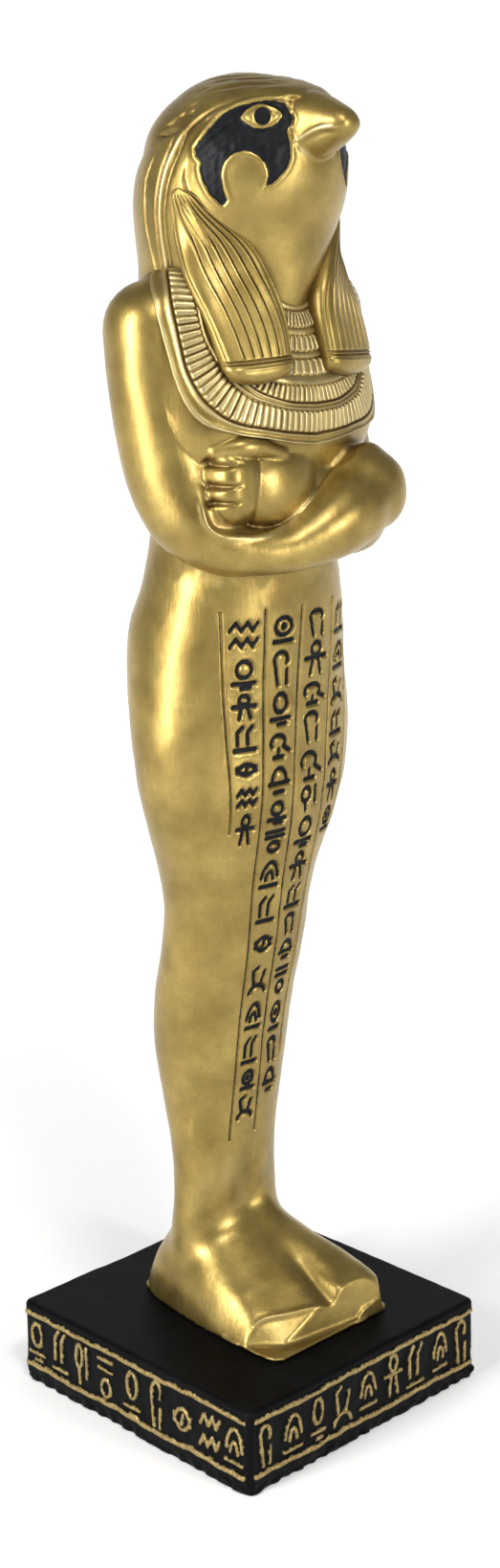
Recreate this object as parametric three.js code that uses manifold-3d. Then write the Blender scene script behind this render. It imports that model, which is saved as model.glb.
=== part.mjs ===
// A gilded falcon-headed mummy figurine on a square black plinth. Millimetres, +Z up.
// It looks along -Y, its own right hand is on the -X side, and z = 0 is the plinth's underside.
import * as THREE from 'three';
import { LoftGeometry } from 'three/addons/geometries/LoftGeometry.js';
import { mergeVertices } from 'three/addons/utils/BufferGeometryUtils.js';
import Module from 'manifold-3d';

const wasm = await Module();
wasm.setup();

// Plinth
const plinthSide = 60.6;
const plinthHeight = 15.8;
const plinthTopInset = 0.35;
const plinthEdgeRound = 0.6;
const borderHeight = 0.9;
const borderRaise = 0.35;
const upperBorderZ = 12.9;
const lowerBorderZ = 2.7;
const markRaise = 0.4;
const markLineWidth = 0.8;
const markCellWidth = 9;
const markCellsPerSide = 6;

// Figure
const seatGap = 0.3;
const seatZ = plinthHeight + seatGap;
const toeForward = 20.7;
const heelBack = 18.1;
const footGroove = 1.3;
const shinGroove = 1.5;
const shinGrooveTop = 52;
const collarRaise = 0.9;
const collarBandDepth = 0.35;
const lappetFlutes = 7;
const fluteDepth = 0.45;
const engravingDepth = 0.4;
const columnLineWidth = 0.7;
const strokeWidth = 0.7;
const columnTopZ = 148;
const outerColumnEndZ = 104;
const innerColumnEndZ = 48;
const fingerRadius = 1.35;

// Body sections: height, half width, half depth, forward shift of the centre, squareness.
const bodySections = [
  [24, 11.5, 6.4, -6.6, 2.2],
  [31, 12.4, 6.5, -6.5, 2.2],
  [36, 12.0, 6.3, -6.3, 2.2],
  [42, 11.4, 6.9, -6.5, 2.2],
  [50, 11.4, 7.7, -6.9, 2.2],
  [60, 12.5, 9.2, -7.2, 2.2],
  [69, 13.8, 10.0, -7.1, 2.2],
  [77, 14.5, 10.1, -6.1, 2.2],
  [86, 14.8, 9.7, -4.0, 2.2],
  [94, 14.9, 10.0, -2.9, 2.2],
  [101, 16.3, 10.9, -2.5, 2.2],
  [109, 19.3, 11.9, -1.8, 2.2],
  [117, 21.8, 12.5, -1.4, 2.2],
  [126, 22.8, 13.1, -1.8, 2.2],
  [136, 21.8, 14.7, -3.0, 2.2],
  [145, 20.5, 15.6, -3.1, 2.2],
  [153, 18.8, 15.0, -1.9, 2.3],
  [162, 18.6, 15.2, -2.0, 2.6],
  [173, 19.6, 16.4, -2.6, 3.2],
  [185, 20.4, 17.2, -3.0, 3.6],
  [193, 19.8, 16.4, -3.2, 3.2],
  [199, 17.6, 14.0, -3.4, 2.6],
  [203, 14.0, 11.0, -3.5, 2.3],
];

// Face and neck sections, the same columns.
const faceSections = [
  [190, 11.0, 11.0, -3.0, 2.0],
  [201, 11.0, 9.5, -2.5, 2.0],
  [206, 13.6, 12.5, -2.0, 2.0],
  [212, 16.0, 15.0, -1.5, 2.1],
  [218, 16.8, 16.5, -1.0, 2.1],
  [223, 16.5, 16.9, -0.9, 2.1],
  [228, 14.6, 15.9, -0.7, 2.1],
  [232, 11.4, 14.0, 0.6, 2.1],
  [234.6, 7.5, 10.5, 0.9, 2.1],
];

// Wig sections, the same columns.
const wigSections = [
  [187, 15.0, 17.2, -3.4, 2.4],
  [196, 16.0, 17.0, -3.2, 2.2],
  [205, 16.8, 16.4, -2.4, 2.1],
  [211, 17.7, 17.2, -2.4, 2.0],
  [216, 18.0, 17.2, -2.4, 2.0],
  [221, 17.4, 16.8, -2.1, 2.0],
  [226, 15.7, 15.8, -0.9, 2.0],
  [230, 13.6, 15.1, 0.0, 2.0],
  [233, 11.4, 15.2, 1.6, 2.0],
  [235.2, 8.4, 11.0, 0.9, 2.0],
  [236.4, 4.6, 6.2, -0.3, 2.0],
  [236.9, 1.0, 2.0, -1.5, 2.0],
];

// The open front of the wig, seen from the side: forward distance and height.
const wigOpening = [
  [34, 232.4],
  [14.7, 232.4],
  [10.8, 231.7],
  [6.6, 229.4],
  [3.6, 225.6],
  [1.8, 221.0],
  [2.9, 217.0],
  [5.4, 212.0],
  [7.5, 206.0],
  [8.0, 184.0],
  [34, 184.0],
];

// Beak sections: forward distance, top height, bottom height, half width.
const beakSections = [
  [10.0, 234.0, 220.6, 6.0],
  [13.5, 234.3, 221.6, 5.6],
  [16.0, 234.0, 222.7, 5.0],
  [18.5, 233.3, 224.2, 4.6],
  [20.8, 232.1, 225.2, 4.0],
  [22.6, 230.8, 226.0, 3.0],
  [23.5, 229.9, 226.8, 2.0],
  [23.9, 229.0, 227.6, 0.8],
];

// Lappet sections from bottom to top: height, side distance, forward distance, half width,
// half thickness, and the angle it faces outwards from straight ahead.
const lappetSections = [
  [187.4, 10.9, 12.8, 6.1, 2.8, 15],
  [192.0, 11.1, 12.1, 6.5, 2.9, 17],
  [198.5, 11.4, 9.7, 7.2, 3.0, 22],
  [204.5, 12.3, 7.1, 7.2, 2.8, 35],
  [210.0, 13.0, 4.7, 6.2, 2.4, 50],
  [215.0, 15.4, 2.2, 3.2, 2.0, 66],
  [218.6, 16.5, 0.6, 1.2, 1.4, 80],
];

// Arm paths from shoulder to wrist: side distance, forward distance, height, radius.
const frontArm = [
  [18.9, -4.0, 196.8, 8.0],
  [19.2, -3.0, 188.0, 7.7],
  [18.7, -1.3, 179.0, 7.9],
  [17.7, 1.2, 170.5, 7.9],
  [15.8, 6.2, 165.0, 7.5],
  [10.6, 11.0, 163.6, 6.9],
  [4.0, 12.8, 164.6, 6.4],
  [-4.0, 14.4, 167.0, 6.1],
  [-10.0, 14.8, 169.0, 6.0],
];
const rearArm = [
  [18.9, -4.0, 196.8, 8.0],
  [19.2, -3.0, 188.0, 7.7],
  [18.7, -1.3, 179.0, 7.9],
  [18.4, 1.2, 170.5, 8.1],
  [18.2, 6.0, 164.4, 8.0],
  [12.4, 9.4, 165.4, 6.8],
  [4.0, 9.6, 168.6, 6.0],
  [-3.0, 9.8, 171.0, 5.8],
  [-8.0, 9.8, 171.8, 5.8],
];

// Foot sections from heel to toe: forward distance, half width, ridge height, crown squareness.
const footSections = [
  [-18.1, 6.0, 3.0, 2.2],
  [-17.5, 8.8, 6.5, 2.2],
  [-15.8, 10.8, 11.5, 2.2],
  [-12.5, 12.3, 16.5, 2.1],
  [-7.0, 13.5, 19.0, 2.0],
  [-1.0, 14.2, 18.4, 2.5],
  [3.5, 14.5, 14.8, 3.6],
  [9.0, 14.8, 12.0, 4.5],
  [15.0, 14.7, 10.0, 5.5],
  [18.6, 14.1, 8.0, 5.5],
  [20.0, 13.2, 5.8, 5.5],
  [20.7, 12.4, 1.2, 5.5],
];

const gold = new THREE.MeshStandardMaterial({ color: 0xa98c41, roughness: 0.38, metalness: 0.85 });
const black = new THREE.MeshStandardMaterial({ color: 0x1e2024, roughness: 0.4, metalness: 0.0 });

// Closed geometry to a solid that can be joined and cut.
function solidOf(geometry) {
  const bare = new THREE.BufferGeometry();
  bare.setAttribute('position', geometry.getAttribute('position'));
  bare.setIndex(geometry.getIndex());
  const merged = mergeVertices(bare, 1e-4);
  const vertProperties = merged.attributes.position.array;
  const triVerts = new Uint32Array(merged.index.array);
  return new wasm.Manifold(new wasm.Mesh({ numProp: 3, vertProperties, triVerts }));
}

// A joined solid back to a mesh with its material.
function meshOf(name, solid, material) {
  const made = solid.getMesh();
  const geometry = new THREE.BufferGeometry();
  geometry.setAttribute('position', new THREE.BufferAttribute(made.vertProperties, 3));
  geometry.setIndex(new THREE.BufferAttribute(made.triVerts, 1));
  geometry.computeVertexNormals();
  const mesh = new THREE.Mesh(geometry, material);
  mesh.name = name;
  return mesh;
}

function joined(solids) {
  return solids.reduce((whole, next) => whole.add(next));
}

// A smooth curve through the rows of a table, asked by the value of its first column.
function tableCurve(rows) {
  const width = rows[0].length - 1;
  const keys = rows.map((row) => row[0]);
  const values = rows.flatMap((row) => row.slice(1));
  const curve = new THREE.CubicInterpolant(keys, values, width, new Float64Array(width));
  return (key) => Array.from(curve.evaluate(key));
}

function evenly(from, to, count) {
  return Array.from({ length: count + 1 }, (_, i) => from + (to - from) * i / count);
}

// A power of a sine or cosine that keeps its sign, which squares a circle up.
function squared(value, squareness) {
  return Math.sign(value) * Math.abs(value) ** (2 / squareness);
}

function bump(distance, width) {
  return Math.exp(-((distance / width) ** 2));
}

function loft(sections) {
  return solidOf(new LoftGeometry(sections, { capStart: true, capEnd: true }));
}

// A point on a squared oval at one height. Angle 0 is the figure's left side, -90 degrees its front.
function ovalPoint([halfWidth, halfDepth, forward, squareness], angle, z, raise = 0) {
  const x = (halfWidth + raise) * squared(Math.cos(angle), squareness);
  const y = (halfDepth + raise) * squared(Math.sin(angle), squareness) - forward;
  return new THREE.Vector3(x, y, z);
}

function angles(count) {
  return Array.from({ length: count }, (_, i) => i / count * 2 * Math.PI - Math.PI / 2);
}

function ovalLoft(rows, heights, around, shape = (point) => point) {
  const at = tableCurve(rows);
  return loft(heights.map((z) => angles(around).map((angle) => shape(ovalPoint(at(z), angle, z)))));
}

// The trough between the shins, which fades out at the knees.
function withShinGroove(point) {
  const fade = THREE.MathUtils.smoothstep(shinGrooveTop - point.z, 0, 16);
  if (point.y < 6.5) point.y += shinGroove * fade * bump(point.x, 2.2);
  return point;
}

function body() {
  const heights = [24, 33, 40, 47, ...evenly(57, 152, 10), ...evenly(163, 191, 2), 199, 203];
  return ovalLoft(bodySections, heights, 30, withShinGroove);
}

// Both feet side by side as one block with a trough between them, carried from heel to toe.
function feet() {
  const at = tableCurve(footSections);
  const across = 14;
  const stations = [-heelBack, -17.5, -15.8, -12, -7, -1, 3, 7, 11, 15, 18.4, 20, toeForward];
  return loft(stations.map((forward) => {
    const [halfWidth, ridge, squareness] = at(forward);
    const top = evenly(0, 1, across).map((share) => {
      const x = -halfWidth * Math.cos(share * Math.PI);
      const crown = (1 - Math.abs(x / halfWidth) ** squareness) ** 0.5;
      const trough = Math.min(footGroove, ridge * 0.3) * bump(x, 1.9);
      return new THREE.Vector3(x, -forward, seatZ + Math.max(0.8, ridge * crown - trough));
    });
    const sole = [1, 0.33, -0.33, -1].map((side) => new THREE.Vector3(side * halfWidth, -forward, seatZ));
    return [...top, ...sole].reverse();
  }));
}

// A round limb through its stations, with a domed start.
function limb(stations, side, around = 11) {
  const centres = stations.map(([x, forward, z]) => new THREE.Vector3(side * x, -forward, z));
  const path = new THREE.CatmullRomCurve3(centres, false, 'centripetal');
  const last = stations.length - 1;
  const radiusAt = tableCurve(stations.map((station, i) => [i, station[3]]));
  const steps = 2 * last;
  let normal = new THREE.Vector3(1, 0, 0);
  const ring = (centre, along, radius) => {
    normal = normal.clone().addScaledVector(along, -normal.dot(along)).normalize();
    const binormal = along.clone().cross(normal);
    return angles(around).map((angle) => centre.clone()
      .addScaledVector(normal, radius * Math.cos(angle))
      .addScaledVector(binormal, radius * Math.sin(angle)));
  };
  const startAlong = path.getTangent(0);
  const startRadius = radiusAt(0)[0];
  const dome = [80, 50, 25].map((degrees) => {
    const turn = THREE.MathUtils.degToRad(degrees);
    const centre = centres[0].clone().addScaledVector(startAlong, -startRadius * Math.sin(turn));
    return ring(centre, startAlong, startRadius * Math.cos(turn));
  });
  const tube = evenly(0, 1, steps).map((t) => ring(path.getPoint(t), path.getTangent(t), radiusAt(t * last)[0]));
  return loft([...dome, ...tube]);
}

function capsuleBetween(from, to, radius) {
  const along = to.clone().sub(from);
  const geometry = new THREE.CapsuleGeometry(radius, along.length(), 1, 6);
  const turn = new THREE.Quaternion().setFromUnitVectors(new THREE.Vector3(0, 1, 0), along.normalize());
  geometry.applyQuaternion(turn);
  geometry.translate(...from.clone().add(to).multiplyScalar(0.5).toArray());
  return solidOf(geometry);
}

// Palm sections: rise from its middle, and the share of its full width and depth.
const palmSections = [
  [-7.2, 0.45],
  [-5.6, 0.8],
  [-2.6, 0.98],
  [1.0, 1],
  [4.2, 0.92],
  [6.2, 0.7],
  [7.0, 0.45],
];
const palmHalfWidth = 7.8;
const palmHalfDepth = 6.6;

// A closed hand: a squared-up palm, four fingers stacked on its outer side, and the thumb on top.
function fist(side, forward, z, reach) {
  const palm = loft(palmSections.map(([rise, share]) => angles(13).map((angle) => (
    ovalPoint([share * palmHalfWidth, share * palmHalfDepth, forward, 2.5], angle, z + rise)
      .add(new THREE.Vector3(side * reach, 0, 0))
  ))));
  const fingers = [4.8, 1.9, -1.0, -3.7].map((rise) => capsuleBetween(
    new THREE.Vector3(side * (reach + 3.0), -(forward + 5.2), z + rise),
    new THREE.Vector3(side * (reach + 7.2), -(forward - 0.4), z + rise),
    fingerRadius,
  ));
  const thumb = capsuleBetween(
    new THREE.Vector3(side * (reach - 0.5), -(forward + 4.4), z + 6.3),
    new THREE.Vector3(side * (reach + 5.4), -(forward + 0.8), z + 6.4),
    fingerRadius + 0.2,
  );
  return joined([palm, ...fingers, thumb]);
}

function arms() {
  return joined([
    limb(rearArm, 1),
    fist(-1, 9.4, 171.0, 9.4),
    limb(frontArm, -1),
    fist(1, 13.6, 168.8, 12.2),
  ]);
}

function face() {
  return ovalLoft(faceSections, [190, 201, 205, ...evenly(209, 229, 4), 232, 234.6], 28);
}

function wig() {
  const heights = [187, 196, ...evenly(204, 225, 4), 229, 232, 234, 235.6, 236.5, 236.9];
  const hair = ovalLoft(wigSections, heights, 32);
  const outline = new THREE.Shape(wigOpening.map(([forward, z]) => new THREE.Vector2(forward, z)));
  const opening = new THREE.ExtrudeGeometry(outline, { depth: 60, bevelEnabled: false });
  // The outline's plane turns from XY to the figure's side view: forward becomes -Y, height Z.
  const turn = new THREE.Matrix4().makeBasis(
    new THREE.Vector3(0, -1, 0),
    new THREE.Vector3(0, 0, 1),
    new THREE.Vector3(-1, 0, 0),
  );
  opening.applyMatrix4(turn);
  opening.translate(30, 0, 0);
  return hair.subtract(solidOf(opening));
}

function beak() {
  const at = tableCurve(beakSections);
  const stations = [10, 13, 15, 17, 19, 20.8, 22.6, 23.5, 23.9];
  return loft(stations.map((forward) => {
    const [top, bottom, halfWidth] = at(forward);
    return angles(16).map((angle) => new THREE.Vector3(
      halfWidth * squared(Math.cos(angle), 2.1),
      -forward,
      (top + bottom) / 2 + (top - bottom) / 2 * squared(Math.sin(angle), 2.1),
    ));
  }));
}

// A lock's section: flutes across its outer face, each with a valley and a flat crest, and a plain back.
function lockOutline(halfWidth, halfThickness, depth) {
  const arc = (share) => (1 - Math.abs(2 * share - 1) ** 2.6) ** (1 / 2.6);
  const crests = evenly(0, lappetFlutes - 1, lappetFlutes - 1).flatMap((flute) => [
    [(flute + 0.3) / lappetFlutes, 0],
    [(flute + 0.7) / lappetFlutes, 0],
    [(flute + 1) / lappetFlutes, depth],
  ]).slice(0, -1);
  const front = [[0, 0], ...crests, [1, 0]].map(([share, cut]) => (
    [halfWidth * (2 * share - 1), halfThickness * arc(share) - cut]
  ));
  const back = [0.85, 0.5, 0.15].map((share) => [halfWidth * (2 * share - 1), -halfThickness * arc(share)]);
  return [...front, ...back];
}

// One front lock of the wig, fluted above a plain cuff at its foot.
function lappet(side) {
  const at = tableCurve(lappetSections);
  const cuffTop = 189.6;
  const heights = [187.4, cuffTop - 0.3, cuffTop, 195, 201, 207, 213, 218.6];
  return loft(heights.map((z) => {
    const [reach, forward, halfWidth, halfThickness, facing] = at(z);
    const turn = THREE.MathUtils.degToRad(facing);
    const depth = z < cuffTop ? 0 : fluteDepth;
    const ring = lockOutline(halfWidth, halfThickness, depth).map(([u, out]) => new THREE.Vector3(
      side * (reach + u * Math.cos(turn) + out * Math.sin(turn)),
      -(forward - u * Math.sin(turn) + out * Math.cos(turn)),
      z,
    ));
    return side > 0 ? ring : ring.reverse();
  }));
}

// Height of the collar's lower edge, by the turn from straight ahead: nearly level in front,
// rising steeply over the shoulders, and part of the way down again behind.
function collarEdge(turn) {
  const rise = THREE.MathUtils.clamp((turn - 45) / 45, 0, 1) ** 4;
  const fall = THREE.MathUtils.smoothstep(turn, 100, 140);
  return 178 + 24.2 * rise - 11 * fall;
}

// The broad collar: a raised sheet over the chest, with a sunk band for its beads above the border.
function collar() {
  const at = tableCurve(bodySections);
  const neckZ = 202.5;
  const ringAt = (share, raise) => angles(44).map((angle) => {
    const turn = THREE.MathUtils.radToDeg(Math.PI - Math.abs(Math.PI - (angle + Math.PI / 2)));
    const z = THREE.MathUtils.lerp(collarEdge(turn), neckZ, share);
    return ovalPoint(at(z), angle, z, raise);
  });
  const core = (z) => angles(44).map((angle) => ovalPoint([6, 6, -3, 2], angle, z));
  const sunk = collarRaise - collarBandDepth;
  return loft([
    core(186),
    ringAt(0, -2),
    ...[0, 0.12].map((share) => ringAt(share, collarRaise)),
    ...[0.14, 0.36].map((share) => ringAt(share, sunk)),
    ...[0.38, 0.6, 1].map((share) => ringAt(share, collarRaise)),
    core(205),
  ]);
}

// A shallow cut along points on a surface: a lozenge section carried through them.
function engraved(points, outward, width, depth) {
  return loft(points.map((point, i) => {
    const before = points[Math.max(i - 1, 0)];
    const after = points[Math.min(i + 1, points.length - 1)];
    const along = after.clone().sub(before).normalize();
    const out = outward[i];
    const across = out.clone().cross(along).normalize();
    return [[0, depth], [width / 2 + depth / 2, -depth], [0, -depth * 1.6], [-width / 2 - depth / 2, -depth]]
      .map(([u, v]) => point.clone().addScaledVector(across, u).addScaledVector(out, -v));
  }));
}

// A point on the front of the body at a side distance and height, and the way it faces.
const bodyAt = tableCurve(bodySections);
function frontPoint(x, z) {
  const [halfWidth, halfDepth, forward, squareness] = bodyAt(z);
  const share = Math.min(Math.abs(x / halfWidth), 0.98);
  const y = -halfDepth * (1 - share ** squareness) ** (1 / squareness) - forward;
  return withShinGroove(new THREE.Vector3(x, y, z));
}

function frontFacing(x, z) {
  const acrossStep = frontPoint(x + 0.5, z).sub(frontPoint(x - 0.5, z));
  const upStep = frontPoint(x, z + 1).sub(frontPoint(x, z - 1));
  return acrossStep.cross(upStep).normalize();
}

// The side distance of a column line at a height: the four columns narrow with the legs.
function columnLineX(line, z) {
  const narrowing = THREE.MathUtils.clamp((z - 30) / (columnTopZ - 30), 0, 1);
  return line * (3.1 + 4.6 * narrowing ** 0.8);
}

function bodyCut(xzPairs, width) {
  const points = xzPairs.map(([x, z]) => frontPoint(x, z));
  const outward = xzPairs.map(([x, z]) => frontFacing(x, z));
  return engraved(points, outward, width, engravingDepth);
}

function columnLines() {
  return [-2, -1, 0, 1, 2].map((line) => {
    const end = Math.abs(line) === 2 ? outerColumnEndZ : innerColumnEndZ;
    const heights = evenly(columnTopZ, end, Math.round((columnTopZ - end) / 14));
    return bodyCut(heights.map((z) => [columnLineX(line, z), z]), columnLineWidth);
  });
}

// Short strokes in a cell, as from and to places across and down it, taken in turn.
const strokeSets = [
  [[[-0.8, 0.7], [0.7, 0.4]], [[-0.6, -0.3], [0.8, -0.6]]],
  [[[-0.6, 0.8], [-0.2, -0.7]], [[0.3, 0.7], [0.7, -0.8]]],
  [[[-0.8, 0.1], [-0.1, 0.8]], [[-0.2, -0.6], [0.8, 0.3]]],
  [[[-0.8, 0.7], [-0.2, -0.1]], [[-0.6, -0.7], [0.7, -0.5]]],
  [[[-0.7, 0.8], [0.8, 0.3]], [[-0.8, -0.2], [0.6, -0.8]]],
];

function cellStrokes(cell) {
  return strokeSets[(cell * 7 + (cell >> 2)) % strokeSets.length];
}

function inscription() {
  const cellHeight = 9.4;
  return [-1.5, -0.5, 0.5, 1.5].flatMap((column, order) => {
    const end = Math.abs(column) > 1 ? outerColumnEndZ : innerColumnEndZ;
    const cells = Math.floor((columnTopZ - end) / cellHeight);
    return Array.from({ length: cells }, (_, row) => row).flatMap((row) => {
      const z = columnTopZ - (row + 0.5) * cellHeight;
      const x = columnLineX(column, z);
      const halfCell = (columnLineX(1, z) - columnLineX(0, z)) / 2 - 1.2;
      return cellStrokes(row * 4 + order * 3).map((ends) => bodyCut(
        ends.map(([across, up]) => [x + across * halfCell, z + up * (cellHeight / 2 - 1)]),
        strokeWidth,
      ));
    });
  });
}

// The largest closed body of a solid, without the slivers that a join can leave inside it.
function largestBody(solid) {
  return solid.decompose().reduce((best, next) => (next.volume() > best.volume() ? next : best));
}

function figure() {
  const forms = joined([
    body(), feet(), collar(), arms(), face(), beak(), wig(), lappet(1), lappet(-1),
  ]);
  const carved = [...columnLines(), ...inscription()].reduce((whole, cut) => whole.subtract(cut), forms);
  return largestBody(carved);
}

// A block with its upper edges rounded, from a square outline swept upwards.
function plinthBlock() {
  const half = plinthSide / 2;
  const corner = 0.5;
  const levels = [
    [0, half - 0.8],
    [1.0, half - 0.3],
    [plinthHeight - 1.9, half],
    [plinthHeight - 1.6, half - plinthTopInset],
    [plinthHeight - plinthEdgeRound, half - plinthTopInset],
    [plinthHeight - plinthEdgeRound * 0.3, half - plinthTopInset - plinthEdgeRound * 0.3],
    [plinthHeight, half - plinthTopInset - plinthEdgeRound],
  ];
  return loft(levels.map(([z, reach]) => [0, 1, 2, 3].flatMap((quarter) => [0, 45, 90].map((degrees) => {
    const angle = THREE.MathUtils.degToRad(quarter * 90 + degrees);
    const [x, y] = [[1, 1], [-1, 1], [-1, -1], [1, -1]][quarter].map((sign) => sign * (reach - corner));
    return new THREE.Vector3(x + corner * Math.cos(angle), y + corner * Math.sin(angle), z);
  }))));
}

function box(width, depth, height, x, y, z) {
  const geometry = new THREE.BoxGeometry(width, depth, height);
  geometry.translate(x, y, z);
  return geometry;
}

// The raised work on one side: two border lines, and short bars between them.
function sideRelief(quarter) {
  const face = -plinthSide / 2 + 0.15;
  const pieces = [upperBorderZ, lowerBorderZ].map((z) => (
    box(plinthSide - 0.6, 2 * borderRaise + 0.6, borderHeight, 0, face + 0.3, z)
  ));
  const middleZ = (upperBorderZ + lowerBorderZ) / 2;
  for (let cell = 0; cell < markCellsPerSide; cell += 1) {
    const x = (cell - (markCellsPerSide - 1) / 2) * markCellWidth;
    cellStrokes(cell + quarter * 3).forEach(([from, to]) => {
      const across = (to[0] - from[0]) * 2.1;
      const up = (to[1] - from[1]) * 3.3;
      const bar = new THREE.BoxGeometry(Math.hypot(across, up), 2 * markRaise + 0.6, markLineWidth);
      bar.rotateY(-Math.atan2(up, across));
      bar.translate(x + (from[0] + to[0]) * 1.05, face + 0.3, middleZ + (from[1] + to[1]) * 1.65);
      pieces.push(bar);
    });
  }
  return pieces.map((piece) => solidOf(piece.rotateZ(quarter * Math.PI / 2)));
}

function plinth() {
  return joined([plinthBlock(), ...[0, 1, 2, 3].flatMap(sideRelief)]);
}

const statuette = new THREE.Group();
statuette.add(meshOf('figure', figure(), gold));
statuette.add(meshOf('plinth', plinth(), black));

export default statuette;
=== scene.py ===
import math
import bpy
import numpy as np
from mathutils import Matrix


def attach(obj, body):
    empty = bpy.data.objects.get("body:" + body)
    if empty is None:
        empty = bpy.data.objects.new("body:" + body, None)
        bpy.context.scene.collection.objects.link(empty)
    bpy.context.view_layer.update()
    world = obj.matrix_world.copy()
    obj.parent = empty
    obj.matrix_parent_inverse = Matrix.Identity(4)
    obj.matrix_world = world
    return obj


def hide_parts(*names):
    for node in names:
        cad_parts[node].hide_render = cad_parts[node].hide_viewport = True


# A gilded falcon-headed mummy figurine on a square black plinth.
# Tables are in millimetres: x to the figure's left, forward towards its toes (-Y), z up from the plinth's underside.
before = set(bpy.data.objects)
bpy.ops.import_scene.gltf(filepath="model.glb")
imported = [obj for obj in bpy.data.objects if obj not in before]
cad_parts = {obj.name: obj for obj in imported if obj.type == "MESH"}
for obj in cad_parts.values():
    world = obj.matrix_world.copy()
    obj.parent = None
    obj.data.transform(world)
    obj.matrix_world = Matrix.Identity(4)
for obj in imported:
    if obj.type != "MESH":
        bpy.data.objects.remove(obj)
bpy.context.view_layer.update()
print("frame loaded", sorted(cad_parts))

millimetre = 0.001
coarse = 1.0  # rougher skins while trying things


# From 0 at low to 1 at high, level at both ends: 3t^2 - 2t^3.
def smooth(value, low, high):
    share = np.clip((value - low) / (high - low), 0.0, 1.0)
    return share * share * (3.0 - 2.0 * share)


# 1 in the middle and fading on both sides: exp(-(distance / width)^2).
def bell(distance, width):
    return np.exp(-((distance / width) ** 2))


# Rises from start to full and fades again from fade to end.
def band(value, start, full, fade, end):
    return smooth(value, start, full) * (1 - smooth(value, fade, end))


# Bells side by side along a value: place, width and height of each.
def ridges(value, rows):
    return sum(height * bell(value - place, width) for place, width, height in rows)


# Angles all the way round, the last a step short of the first.
def fullTurn(count):
    return np.arange(count) / count * 2 * np.pi


# Cubic pieces through the rows, by the first column: the slope at a row is the mean of the chord slopes beside it.
def tableCurve(rows):
    table = np.array(rows, float)
    key, value = table[:, 0], table[:, 1:]
    chord = np.diff(value, axis=0) / np.diff(key)[:, None]
    slope = np.vstack([chord[:1], (chord[1:] + chord[:-1]) / 2, chord[-1:]])

    def at(k):
        k = np.asarray(k, float)
        i = np.clip(np.searchsorted(key, k, side="right") - 1, 0, len(key) - 2)
        step = (key[i + 1] - key[i])[..., None]
        p = np.clip((k - key[i])[..., None] / step, 0.0, 1.0)
        return ((2 * p**3 - 3 * p**2 + 1) * value[i] + (p**3 - 2 * p**2 + p) * step * slope[i]
                + (3 * p**2 - 2 * p**3) * value[i + 1] + (p**3 - p**2) * step * slope[i + 1])
    return at


# Places along a table, dense where the form turns: from, to and how many for each stretch.
def stretches(parts):
    return np.concatenate([np.linspace(low, high, count) for low, high, count in parts])


# Length of a path up to each of its points.
def runAlong(path):
    return np.concatenate([[0], np.cumsum(np.linalg.norm(np.diff(path, axis=0), axis=1))])


# A polyline made smooth and even: the table curve through its points, by the length run so far.
def evenPath(points, step=0.5):
    points = np.array(points, float)
    run = runAlong(points)
    return tableCurve(np.column_stack([run, points]))(np.linspace(0, run[-1], max(int(run[-1] / step), 2) + 1))


# Distance from each point to a polyline, and how far along it the nearest place is.
def nearestOnPath(points, path):
    best = np.full(len(points), 1e9)
    along = np.zeros(len(points))
    run = 0.0
    for a, b in zip(path[:-1], path[1:]):
        leg = b - a
        length = np.linalg.norm(leg) + 1e-12
        share = np.clip((points - a) @ leg / length**2, 0.0, 1.0)
        distance = np.linalg.norm(points - (a + share[:, None] * leg), axis=1)
        closer = distance < best
        best = np.where(closer, distance, best)
        along = np.where(closer, run + share * length, along)
        run += length
    return best, along


# Signed distance to a closed outline in a plane, above zero inside it.
def insideOutline(points, outline):
    outline = np.array(outline + outline[:1], float)
    inside = np.zeros(len(points), bool)
    for a, b in zip(outline[:-1], outline[1:]):  # a point is inside if the outline crosses its level oddly often
        spans = (a[1] > points[:, 1]) != (b[1] > points[:, 1])
        crossX = a[0] + (points[:, 1] - a[1]) / (b[1] - a[1] if b[1] != a[1] else 1e-12) * (b[0] - a[0])
        inside ^= spans & (points[:, 0] < crossX)
    distance = nearestOnPath(points, outline)[0]
    return np.where(inside, distance, -distance)


# Soft unevenness of a hand-finished surface: a sum of slow waves in fixed random directions.
def unevenness(points, wavelength, seed, waves=9):
    random = np.random.default_rng(seed)
    total = np.zeros(len(points))
    for _ in range(waves):
        direction = random.normal(size=3)
        direction /= np.linalg.norm(direction)
        frequency = 2 * math.pi / (wavelength * random.uniform(0.7, 1.5))
        total += np.sin(points @ direction * frequency + random.uniform(0, 2 * math.pi))
    return total / math.sqrt(waves)


# A grid closed round its columns, with a fan to the middle of each end: (points, quads, triangles).
def closedTube(rings):
    rows, columns, _ = rings.shape
    grid = np.arange(rows * columns).reshape(rows, columns)
    beside = np.roll(grid, -1, axis=1)
    quads = np.stack([grid[:-1], beside[:-1], beside[1:], grid[1:]], -1).reshape(-1, 4)
    points = np.vstack([rings.reshape(-1, 3), rings[0].mean(0), rings[-1].mean(0)])
    first = np.full(columns, rows * columns)
    fans = np.vstack([np.stack([beside[0], grid[0], first], -1),
                      np.stack([grid[-1], beside[-1], first + 1], -1)])
    return points, quads, fans


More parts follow.
